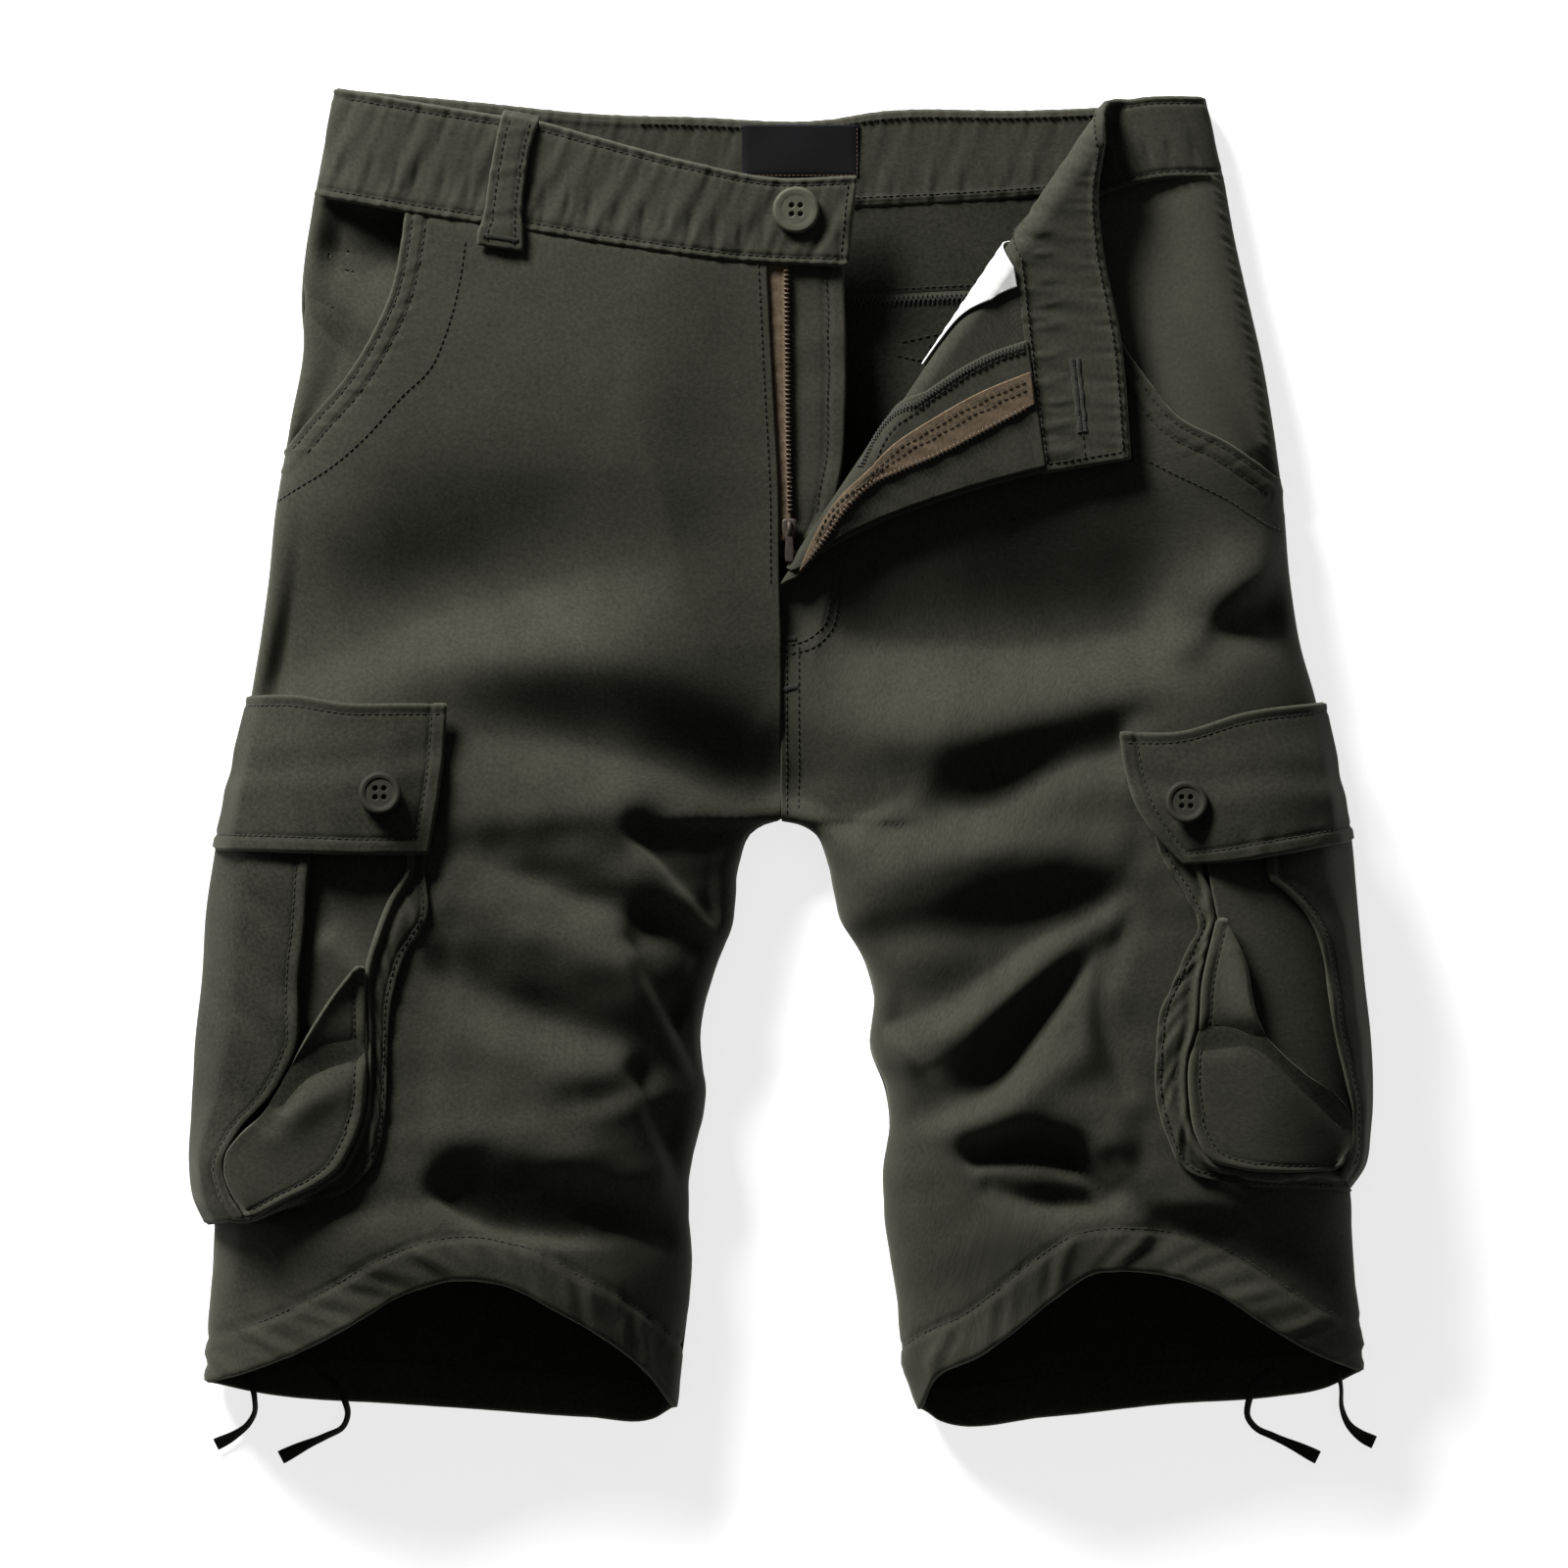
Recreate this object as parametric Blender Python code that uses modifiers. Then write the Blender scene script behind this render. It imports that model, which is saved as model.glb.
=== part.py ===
"""Cargo shorts lying on their back, front up, with the left fly corner turned back.

X runs across the shorts (the wearer's right leg is at -X), Y from the hems up to the
waist, Z up from the surface they lie on. Tables and functions work in millimetres, and
every mesh is scaled to metres as it is made. Each piece of cloth is an open surface worked
out from its edges and given its wall with Solidify.
"""

import bmesh
import bpy
import numpy as np
from mathutils import Matrix

MM = 0.001
WELD = 0.00002

# Cloth walls and the spaces between pieces.
CLOTH = 1.6
BAND_CLOTH = 3.0
FLAP_CLOTH = 2.6
THIN_CLOTH = 0.9
SEAM_GAP = 0.4
SEAM_RISE_GAP = 0.75
BAND_RISE_GAP = 2.0
BAND_PROUD = 0.8
LAYER_GAP = 0.7
FLY_LAYER_GAP = 1.7

# The bounding box's middle, which becomes the origin.
CENTRE_X = -0.975
CENTRE_Y = -0.565

# Trimmings.
BUTTON_RADIUS = 10.5
POCKET_BUTTON_RADIUS = 9.5
BUTTON_THICK = 3.0
BUTTON_STEPS = 20
BUTTON_SHANK = 0.4
LOOP_CLOTH = 2.0
CORD_DIAMETER = 3.4
SLIDER_WIDTH = 7.6
SLIDER_LENGTH = 11.0
SLIDER_THICK = 2.6
PULL_WIDTH = 4.4
PULL_LENGTH = 15.5
PULL_THICK = 1.4
PULL_BEVEL = 0.45

# Outer edges, from the waist's top down the side seam to the hem corner: x, y.
SIDE = {
    "right": [(-207, 306), (-216, 258), (-222, 206), (-221, 190), (-227, 153), (-234, 112),
              (-238, 72), (-245, 28), (-252, -14), (-257, -70), (-261, -140), (-262, -214),
              (-266, -289)],
    "left": [(195, 302), (203, 266), (208, 238), (214, 211), (221, 180), (226, 150),
             (231, 112), (234, 76), (238, 52), (246, 22), (252, -14), (257, -60),
             (260, -110), (261, -160), (262, -214), (267, -284)],
}

# Centre front edges, from the waist seam down to the crotch: x, y. The left one is given
# as it lies before its corner is turned back.
CENTRE_EDGE = {
    "right": [(-8, 226), (-5, 166), (-2.6, 121), (-2.2, 78), (-1.4, 50), (-1.3, 20),
              (-1.3, -31)],
    "left": [(3, 207), (7, 178), (9, 155), (10, 131), (9, 111), (6, 95), (1.2, 84),
             (-0.7, 76), (-0.7, 66), (-0.7, 20), (-0.7, -31)],
}

# Inseams, from the crotch down to the hem: x, y.
INSEAM = {
    "right": [(-1.3, -31), (-8, -32.5), (-15, -37), (-20, -50), (-24, -80), (-33, -104),
              (-38, -128), (-36, -158), (-44, -200), (-42, -235), (-45, -266), (-50, -301)],
    "left": [(-0.7, -31), (8, -32.5), (15, -37), (21, -52), (26, -74), (38, -97),
             (42, -113), (40, -135), (47, -155), (49, -170), (46, -192), (48, -221),
             (53, -255), (58, -290), (63, -302)],
}

# Hem edges, from the side seam to the inseam: x, y. The front hem stands up as an arch.
FRONT_HEM = {
    "right": [(-266, -289), (-249, -284), (-225, -275), (-198, -261), (-171, -246),
              (-148, -240), (-126, -243), (-103, -255), (-81, -268), (-62, -284),
              (-50, -301)],
    "left": [(267, -284), (243, -274), (221, -261), (198, -246), (176, -238), (158, -236),
             (142, -237), (126, -247), (108, -262), (90, -275), (70, -286), (63, -302)],
}
BACK_HEM = {
    "right": [(-266, -289), (-243, -294), (-180, -299), (-135, -302), (-90, -305),
              (-60, -306), (-50, -301)],
    "left": [(267, -284), (250, -292), (225, -296), (180, -299), (122, -305), (72, -307),
             (63, -302)],
}

# Waistband edges: x, y. The left ones are given before the corner is turned back.
BAND_TOP = {
    "right": [(-207, 306), (-180, 301), (-132, 293), (-112, 290), (-90, 284), (-45, 272),
              (-4, 264), (33, 265)],
    "left": [(195, 302), (165, 301), (143, 296), (128, 287), (112, 278), (90, 271),
             (45, 262), (-6, 246)],
    "back": [(-207, 306), (-144, 300), (-81, 294), (-45, 293), (23, 292), (41, 295),
             (113, 296), (158, 298), (195, 302)],
}
BAND_FOOT = {
    "right": [(-216, 258), (-173, 250), (-121, 242), (-72, 234), (-27, 228), (29, 225)],
    "left": [(203, 266), (171, 265), (146, 258), (120, 243), (103, 234), (83, 228),
             (39, 216), (3, 207)],
    "back": [(-216, 258), (-157, 252), (-90, 250), (0, 252), (90, 256), (149, 261),
             (203, 266)],
}
BACK_SEAM_X = 3.0
YOKE_SEAM = [(-223, 216), (-135, 211), (-45, 209), (27, 211), (90, 214), (158, 215),
             (213, 214)]

# Hand pocket mouths, from the waist seam to the side seam: x, y, and the facings under
# them, from the waist seam to the side seam along their inner edge.
MOUTH = {
    "right": [(-173, 250), (-175, 234), (-180, 211), (-188, 193), (-202, 171),
              (-218, 153), (-231, 138)],
    "left": [(120.5, 243.4), (134, 228), (147, 207), (156, 187), (167, 171), (180, 155),
             (203, 143), (229, 126)],
}
FACING_EDGE = {
    "right": [(-152, 246), (-155, 225), (-162, 197), (-174, 175), (-196, 150), (-219, 131)],
    "left": [(126, 245), (131, 226), (137, 203), (148, 178), (165, 155), (190, 135),
             (216, 120)],
}
FACING_SINK = 6.0
FACING_SIDE_LIFT = 0.9
FACING_TIP = 9

# Height of the front above the surface, by section. "inner" is its height at the centre
# front or inseam, "seam" at the side seam, and the reaches are how far in from each edge
# the front goes on rising.
LOFT_COLUMNS = ("y", "crown", "inner", "seam", "outer_reach", "inner_reach")
LOFT = [
    (306, 17, 17, 8, 34, 30),
    (260, 21, 19, 8, 38, 40),
    (200, 29, 22, 9, 46, 60),
    (130, 37, 25, 9, 54, 80),
    (50, 43, 25, 10, 58, 90),
    (-31, 46, 15, 10, 60, 66),
    (-60, 48, 9, 10, 60, 50),
    (-140, 50, 9, 10, 60, 48),
    (-230, 53, 8, 9, 92, 88),
    (-310, 54, 7, 8, 112, 104),
]

# Creases of the front, each along a curved path of three points: a height above zero is a
# ridge and below zero a trough, and spread is the half-width.
FOLD_COLUMNS = ("x0", "y0", "x1", "y1", "x2", "y2", "spread", "height")
FOLDS = {
    "right": [
        (-205, 50, -130, 84, -54, 80, 17, -6),
        (-190, 36, -108, 58, -10, 16, 13, 6),
        (-150, 8, -90, 14, -18, -14, 12, -7),
        (-144, -34, -96, -40, -24, -36, 11, 6),
        (-130, -50, -84, -58, -28, -88, 10, -7),
        (-150, -70, -96, -82, -40, -100, 11, 6),
        (-162, -99, -100, -130, -45, -138, 11, -6),
        (-157, -126, -100, -156, -46, -146, 12, 5),
        (-172, -183, -118, -176, -58, -204, 11, 8),
        (-178, -206, -120, -212, -74, -224, 10, -8),
    ],
    "left": [
        (18, 45, 90, 40, 150, 38, 16, -6),
        (186, 54, 203, 74, 226, 92, 9, 5),
        (187, 44, 212, 54, 236, 60, 9, -6),
        (36, -9, 90, 10, 150, 24, 12, 6),
        (50, -24, 95, -18, 150, -20, 12, -7),
        (34, -62, 80, -50, 146, -52, 12, 6),
        (52, -120, 96, -100, 138, -72, 10, -6),
        (58, -140, 104, -116, 140, -80, 10, 6),
        (81, -156, 118, -130, 144, -88, 10, -6),
        (88, -172, 126, -166, 160, -184, 10, 9),
        (92, -194, 126, -198, 160, -200, 9, -10),
    ],
}
BACK_TURN = 11.0
CENTRE_ROUND_TOP = -8
CENTRE_ROUND_FADE = 46
FOLD_END_SHARE = 0.35
FOLD_EDGE_FADE = 22
POCKET_ZONE = {"x": 152, "x_fade": 16, "top": 22, "foot": -216, "y_fade": 14}

# The turned-back corner: the silhouette of its fold runs from the waist to the fly's foot.
FOLD_LINE_TOP = (146.7, 295.7)
FOLD_LINE_FOOT = (1.0, 79.0)
FOLD_RADIUS_TOP = 8.5
FOLD_RADIUS_FOOT = 2.6
FOLD_FOOT_Y = 72
CORNER_REST_GAP = 5.0
CORNER_SETTLE = 45.0

# Left fly, before the corner is turned back: edges of each piece, from its top down.
FLY_FACING = {"outer": [(61, 221), (62, 206), (61, 193), (58, 177), (52, 155),
                        (35, 129.7), (18.4, 104.8), (10, 94)],
              "centre": [(5, 208), (9, 178), (11, 155), (12, 131), (11, 111), (8, 97)]}
TAPE_LEFT = {"outer": [(47, 217), (47, 195), (45, 170), (42, 146), (33, 127), (24, 113),
                       (15, 101)],
             "teeth": [(33, 213), (30, 187), (29, 165), (29, 148), (27, 132), (20, 118),
                       (12, 106)]}
POCKET_BAG = {"outer": [(108, 231), (99, 219), (91, 207), (82, 194), (74, 182), (69, 175)],
              "edge": [(84, 227), (84, 219), (79, 212), (75, 201), (69, 188), (64, 178)]}

# Right fly: x, y edges of the shield and the tape, from the waist seam down.
SHIELD = {"hidden": [(-22, 226), (-20, 160), (-14, 110), (-4, 92)],
          "free": [(27, 224), (28, 200), (28, 160), (26, 130), (19, 106), (4, 91)]}
TAPE_RIGHT = {"hidden": [(-15, 226), (-13, 160), (-10, 120), (-7, 98)],
              "teeth": [(1.5, 225), (2, 180), (2.5, 140), (3, 118), (3.5, 98)]}

# Cargo pockets, as rails from the top down: x, y.
CARGO = {
    "right": {
        "silhouette": [(-247, 28), (-253, 6), (-259, -25), (-262, -45), (-266, -72),
                       (-268, -104), (-271, -131), (-273, -167), (-274, -189),
                       (-272, -205), (-267, -216)],
        "rear_front": [(-217, -18), (-217, -46), (-218, -59), (-219.5, -81), (-222, -104),
                       (-222, -120), (-222, -130), (-231, -151), (-251, -175),
                       (-257, -189), (-254, -202), (-247, -212)],
        "front_rear": [(-194, -98), (-202, -107), (-211, -120), (-220, -135), (-229, -151),
                       (-238, -165), (-249, -176), (-254, -183), (-255, -191),
                       (-251, -202), (-244, -211)],
        "front_seam": [(-191.5, -98), (-191, -126), (-191, -149), (-193, -167),
                       (-198, -180), (-204, -190), (-212, -196), (-228, -204),
                       (-243, -212.5)],
        "gusset_face": [(-176, -30), (-171, -52), (-180, -68), (-186, -84), (-190, -98),
                        (-189.4, -126), (-189.4, -149), (-191.4, -167), (-196.4, -181),
                        (-203, -191.5), (-212, -197.6), (-228, -205.6), (-243, -214)],
        "gusset_leg": [(-161, -30), (-164, -52), (-163, -75), (-173, -92), (-179, -112),
                       (-181, -140), (-182, -165), (-186, -184), (-200, -200),
                       (-224, -206), (-246, -213), (-255, -215)],
        "pleat_rear": [(-226, -20), (-227, -60), (-228, -100), (-228, -126)],
        "pleat_front": [(-180, -20), (-182, -58), (-196, -92), (-214, -118)],
        "flap_top": [(-247, 26), (-225, 26), (-198, 22), (-180, 22), (-155, 22)],
        "flap_foot": [(-262, -43), (-225, -44), (-193, -45), (-163, -45)],
        "button": (-184, -18),
    },
    "left": {
        "silhouette": [(251, 26), (255, 4), (260, -25), (262.5, -42), (264, -59),
                       (268, -104), (271, -131), (272, -153), (271, -176), (269, -192),
                       (266, -201)],
        "rear_front": [(221, -18), (222, -46), (223, -57), (230, -63), (241, -75),
                       (248, -93), (250, -108), (254, -131), (258.5, -149),
                       (262.3, -166), (260.5, -182), (256, -193)],
        "front_rear": [(201.5, -76), (210, -95), (216, -122), (221, -130), (238, -146),
                       (254, -157), (261, -166), (259, -180), (254, -188)],
        "front_seam": [(198.5, -76), (196, -86), (192, -104), (190, -126), (186, -140),
                       (186, -158), (189, -174), (196, -185), (208, -189), (230, -191),
                       (252, -190.5)],
        "gusset_face": [(180, -30), (190, -52), (197, -76), (194.4, -86), (190.4, -104),
                        (188.4, -126), (184.4, -140), (184.4, -158), (187.4, -175),
                        (195, -186.8), (208, -190.7), (230, -192.7), (252, -192.2)],
        "gusset_leg": [(158, -27), (169, -45), (185, -66), (190, -79), (186, -87),
                       (178, -106), (173, -117), (171, -134), (171, -158), (175, -173),
                       (183, -189), (206, -197), (257, -200)],
        "pleat_rear": [(232, -20), (232, -60), (246, -90), (250, -118), (255, -144)],
        "pleat_front": [(190, -20), (196, -60), (204, -95), (214, -128), (240, -152)],
        "flap_top": [(250, 23), (212, 18), (180, 9), (155, 9)],
        "flap_foot": [(262, -39), (221, -46), (200, -49), (183, -50)],
        "button": (184, -22),
    },
}
CARGO_REACH = 58
FACE_LIFT = 9.0
REAR_LIP = 3.0
FRONT_LIP = 4.5
PLEAT_LIFT = 3.4
GUSSET_TUCK = 3.0
GUSSET_LEG_LIFT = 1.3
FLAP_TOP_LIFT = 5.2
FLAP_FOOT_LIFT = 18.0

# Belt loop rails, blank patch, buttons, slider and cords.
LOOP = {"outer": [(-129, 294), (-133, 265), (-139, 240), (-141, 233)],
        "inner": [(-114, 291), (-119, 265), (-122, 240), (-121, 232)]}
LOOP_LIFT = 3.4
PATCH = {"left": -19, "right": 35, "foot": 266, "top": 288}
PATCH_CLOTH = 0.8
WAIST_BUTTON = (6, 250)
SLIDER = (2.9, 103.0)
PULL_HINGE_Y = 102.0
CORDS = {
    "drawcord_right_outer": [(-249, -281), (-245.5, -290), (-244, -297), (-244, -304),
                             (-247, -309.5), (-254, -315), (-262, -319)],
    "drawcord_right_inner": [(-214, -286), (-206, -291), (-202.5, -298), (-201, -305),
                             (-203, -310.5), (-211, -315), (-221, -319.5), (-232, -325)],
    "drawcord_left_outer": [(250, -274), (255.5, -283), (257.5, -292), (258, -302),
                            (261, -309.5), (267, -315), (273, -318)],
    "drawcord_left_inner": [(224, -285), (218, -291), (215, -299), (214.5, -306),
                            (218, -311), (226, -315), (237, -320), (247, -325)],
}


def smooth(points, steps=14):
    """A dense curve through the points: cubic spans whose end slopes follow the chords."""
    points = np.array(points, float)
    chord = np.linalg.norm(np.diff(points, axis=0), axis=1)
    at = np.concatenate([[0], np.cumsum(chord)])
    slope = np.gradient(points, at, axis=0)
    t = np.linspace(0, 1, steps, endpoint=False)[:, None]
    spans = []
    for k, length in enumerate(chord):
        start, end = points[k], points[k + 1]
        rise0, rise1 = slope[k] * length, slope[k + 1] * length
        spans.append((2 * t**3 - 3 * t**2 + 1) * start + (t**3 - 2 * t**2 + t) * rise0
                     + (3 * t**2 - 2 * t**3) * end + (t**3 - t**2) * rise1)
    return np.vstack(spans + [points[-1:]])


def along(curve, shares):
    """The points at the given shares of a dense curve's length."""
    step = np.linalg.norm(np.diff(curve, axis=0), axis=1)
    at = np.concatenate([[0], np.cumsum(step)])
    wanted = np.asarray(shares) * at[-1]
    return np.stack([np.interp(wanted, at, curve[:, k]) for k in range(curve.shape[1])], -1)


def x_at(curve, y):
    """Where a curve that runs down the shorts crosses the height y."""
    return np.interp(-np.asarray(y, float), -curve[:, 1], curve[:, 0])


def cut_by_x(curve, start, end):
    """The stretch of a curve that runs across the shorts between two x values."""
    low, high = min(start, end), max(start, end)
    order = curve if curve[0, 0] < curve[-1, 0] else curve[::-1]
    inside = order[(order[:, 0] > low) & (order[:, 0] < high)]
    ends = [(x, np.interp(x, order[:, 0], order[:, 1])) for x in (low, high)]
    kept = np.vstack([ends[:1], inside, ends[1:]])
    return kept if start < end else kept[::-1]


def below(curve, y):
    """The stretch of a curve that runs down the shorts, from the height y on."""
    return np.vstack([[(x_at(curve, y), y)], curve[curve[:, 1] < y - 0.01]])


def ease(t):
    t = np.clip(t, 0, 1)
    return t * t * (3 - 2 * t)


def quarter_round(distance, reach):
    """A quarter ellipse's height, 0 at the edge and 1 at the reach."""
    t = np.clip(distance / reach, 0, 1)
    return np.sqrt(1 - (1 - t) ** 2)


SIDE_CURVE = {side: smooth(points) for side, points in SIDE.items()}
SILHOUETTE = {side: smooth(CARGO[side]["silhouette"]) for side in CARGO}
INNER_CURVE = {side: np.vstack([smooth(CENTRE_EDGE[side])[:-1], smooth(INSEAM[side])])
               for side in INSEAM}


def loft(column, y):
    """A column of the loft table at the height y."""
    table = np.array(LOFT, float)[::-1]
    return np.interp(y, table[:, 0], table[:, LOFT_COLUMNS.index(column)])


def fold_relief(x, y, side):
    """The sum of the creases: a bell across each path, lower towards its two ends."""
    t = np.linspace(0, 1, 25)
    total = np.zeros(np.shape(x))
    for row in FOLDS[side]:
        fold = dict(zip(FOLD_COLUMNS, row))
        path = [(1 - t) ** 2 * fold[a + "0"] + 2 * t * (1 - t) * fold[a + "1"]
                + t**2 * fold[a + "2"] for a in "xy"]
        gap = (x[..., None] - path[0]) ** 2 + (y[..., None] - path[1]) ** 2
        nearest = gap.argmin(-1)
        taper = FOLD_END_SHARE + (1 - FOLD_END_SHARE) * np.sin(np.pi * t[nearest])
        total += fold["height"] * taper * np.exp(-gap.min(-1) / (2 * fold["spread"] ** 2))
    return total


def front_height(x, y, side):
    """Height of the front's outer face: edges rounding down, creases fading at them."""
    x, y = np.broadcast_arrays(np.asarray(x, float), np.asarray(y, float))
    outer = np.abs(x - x_at(SIDE_CURVE[side], y))
    toward = 1 if side == "right" else -1
    outer = np.where(toward * (x - x_at(SIDE_CURVE[side], y)) > 0, outer, 0)
    inner = np.maximum(toward * (x_at(INNER_CURVE[side], y) - x), 0)
    crown, low, seam = loft("crown", y), loft("inner", y), loft("seam", y)
    height = seam + (crown - seam) * quarter_round(outer, loft("outer_reach", y))
    reach = loft("inner_reach", y)
    leg = ease((CENTRE_ROUND_TOP - y) / CENTRE_ROUND_FADE)
    rise = (1 - leg) * ease(inner / reach) + leg * quarter_round(inner, reach)
    height -= (crown - low) * (1 - rise)
    fade = ease(np.minimum(outer, inner) / FOLD_EDGE_FADE)
    zone = ease((np.abs(x) - POCKET_ZONE["x"]) / POCKET_ZONE["x_fade"])
    zone *= ease((POCKET_ZONE["top"] - y) / POCKET_ZONE["y_fade"])
    zone *= ease((y - POCKET_ZONE["foot"]) / POCKET_ZONE["y_fade"])
    return height + fold_relief(x, y, side) * fade * (1 - zone)


def pocket_height(x, y, side):
    """Height of a smooth skin over the leg that rounds down at the pocket's silhouette."""
    toward = 1 if side == "right" else -1
    inside = np.maximum(toward * (x - x_at(SILHOUETTE[side], y)), 0)
    crown, seam = loft("crown", y), loft("seam", y)
    return seam + (crown - seam) * quarter_round(inside, CARGO_REACH)


FOLD_SPAN = np.subtract(FOLD_LINE_FOOT, FOLD_LINE_TOP).astype(float)
FOLD_RUN = FOLD_SPAN / np.linalg.norm(FOLD_SPAN)
FOLD_ACROSS = np.array([FOLD_RUN[1], -FOLD_RUN[0]])


def fold_place(x, y):
    """The fold's radius abreast of a point, and how far past the fold's start it lies."""
    dx, dy = x - FOLD_LINE_TOP[0], y - FOLD_LINE_TOP[1]
    share = (dx * FOLD_RUN[0] + dy * FOLD_RUN[1]) / np.linalg.norm(FOLD_SPAN)
    radius = FOLD_RADIUS_TOP + (FOLD_RADIUS_FOOT - FOLD_RADIUS_TOP) * np.clip(share, 0, 1)
    return radius, dx * FOLD_ACROSS[0] + dy * FOLD_ACROSS[1] + radius


def fold_start(share):
    """The points where the cloth leaves the front to go round the fold."""
    share = np.asarray(share)[:, None]
    radius = FOLD_RADIUS_TOP + (FOLD_RADIUS_FOOT - FOLD_RADIUS_TOP) * share
    return FOLD_LINE_TOP + FOLD_SPAN * share - radius * FOLD_ACROSS


def turned_corner(x, y, lift):
    """Left front cloth, lift above its outer face, with the corner rolled over the fold.

    Across the fold line the cloth goes round half a turn of the fold's radius, lands
    mirrored on the front with its inside up, and settles towards it further on.
    """
    x, y = np.asarray(x, float), np.asarray(y, float)
    across = FOLD_ACROSS
    radius, past = fold_place(x, y)
    turn = np.pi * np.clip(past / (2 * radius), 0, 1)
    lies = np.minimum(past, 0) + (radius - lift) * np.sin(turn)
    lies = np.where(past > 2 * radius, 2 * radius - past, lies)
    x_new = x + (lies - past) * across[0]
    y_new = y + (lies - past) * across[1]
    settled = np.exp(-np.maximum(past - 2 * radius, 0) / CORNER_SETTLE)
    gap = CORNER_REST_GAP + (2 * radius - CORNER_REST_GAP) * settled
    z = front_height(x_new, y_new, "left") + gap * (1 - np.cos(turn)) / 2
    return np.stack([x_new, y_new, z + lift * np.cos(turn)], -1)


def between(first, last, down, across):
    """A grid ruled from one rail to the other, both taken by shares of their length."""
    a, b = along(smooth(first), down), along(smooth(last), down)
    u = np.asarray(across)[None, :, None]
    return a[:, None] * (1 - u) + b[:, None] * u


def coons(top, foot, first, last, down, across):
    """A grid filled in from its four edges, each a dense curve."""
    top, foot = along(top, across)[None], along(foot, across)[None]
    first, last = along(first, down)[:, None], along(last, down)[:, None]
    u, v = np.asarray(across)[None, :, None], np.asarray(down)[:, None, None]
    corners = ((1 - v) * ((1 - u) * top[:, :1] + u * top[:, -1:])
               + v * ((1 - u) * foot[:, :1] + u * foot[:, -1:]))
    return (1 - v) * top + v * foot + (1 - u) * first + u * last - corners


def shares(count, edges=0.0):
    """Even shares from 0 to 1, drawn towards both ends by edges (0 to 1)."""
    t = np.linspace(0, 1, count)
    return (1 - edges) * t + edges * (1 - np.cos(np.pi * t)) / 2


def raised(grid, z):
    """A flat grid with its heights."""
    return np.concatenate([grid, np.broadcast_to(z, grid.shape[:2])[..., None]], -1)


def make_material(name, colour, roughness, metallic=0.0):
    material = bpy.data.materials.new(name)
    material.use_nodes = True
    shader = material.node_tree.nodes["Principled BSDF"]
    shader.inputs["Base Color"].default_value = (*colour, 1)
    shader.inputs["Roughness"].default_value = roughness
    shader.inputs["Metallic"].default_value = metallic
    return material


def add_object(name, data, material, parent):
    piece = bpy.data.objects.new(name, data)
    piece.data.materials.append(material)
    parts.objects.link(piece)
    piece.parent = parent
    return piece


def weld_doubles(mesh):
    """Makes one of the points where a grid's row or column closes up at a corner."""
    shell = bmesh.new()
    shell.from_mesh(mesh)
    bmesh.ops.remove_doubles(shell, verts=shell.verts, dist=WELD)
    shell.to_mesh(mesh)
    shell.free()


def cloth(name, points, wall, material, facing=1, plan=None):
    """A wall of cloth under a grid of points, whose outer face is the grid.

    facing is 1 where the outer face looks up and -1 where it looks down, judged on the
    plan: the points themselves, or the grid as it lay before its corner was turned back.
    """
    rows, columns = points.shape[:2]
    index = np.arange(rows * columns).reshape(rows, columns)
    faces = np.stack([index[:-1, :-1], index[1:, :-1], index[1:, 1:], index[:-1, 1:]], -1)
    faces = faces.reshape(-1, 4)
    plan = points if plan is None else plan
    wide = plan[:-1, 1:, :2] - plan[:-1, :-1, :2]
    deep = plan[1:, :-1, :2] - plan[:-1, :-1, :2]
    area = (wide[..., 0] * deep[..., 1] - wide[..., 1] * deep[..., 0]).sum()
    if (area < 0) != (facing > 0):
        faces = faces[:, [0, 3, 2, 1]]
    mesh = bpy.data.meshes.new(name)
    mesh.from_pydata((points.reshape(-1, 3) * MM).tolist(), [], faces.tolist())
    weld_doubles(mesh)
    mesh.shade_smooth()
    piece = add_object(name, mesh, material, garment)
    wall_modifier = piece.modifiers.new("Wall", "SOLIDIFY")
    wall_modifier.thickness = wall * MM
    wall_modifier.offset = -1
    return piece


def add_front_right():
    """The right front panel, its outer top corner cut away along the pocket mouth."""
    mouth = smooth(MOUTH["right"])
    outer = np.vstack([mouth[:-1], below(SIDE_CURVE["right"], MOUTH["right"][-1][1])])
    top = cut_by_x(smooth(BAND_FOOT["right"]), mouth[0, 0], CENTRE_EDGE["right"][0][0])
    top = top - (0, SEAM_GAP)
    inner = INNER_CURVE["right"].copy()
    outer[0], inner[0] = top[0], top[-1]
    grid = coons(top, smooth(FRONT_HEM["right"]), outer, inner, shares(38), shares(17, 0.8))
    z = front_height(grid[..., 0], grid[..., 1], "right") + SEAM_RISE_GAP
    cloth("front_right", raised(grid, z), CLOTH, twill)


def corner_grid(guide, edge, steps):
    """Rows from a corner's free edge in to the start of its fold, close together round it.

    guide and edge are sampled alike; steps is how many rows go round the fold.
    """
    radius, reach = fold_place(edge[:, 0], edge[:, 1])
    reach = np.maximum(reach, 0.01)
    round_part = np.minimum(2 * radius, 0.6 * reach) / reach
    near = np.linspace(0, 1, steps + 1)[:, None] * round_part[None]
    far = round_part + (1 - round_part) * np.linspace(0, 1, steps)[1:, None]
    share = np.vstack([near, far])[::-1, :, None]
    return guide[None] * (1 - share) + edge[None] * share


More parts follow.
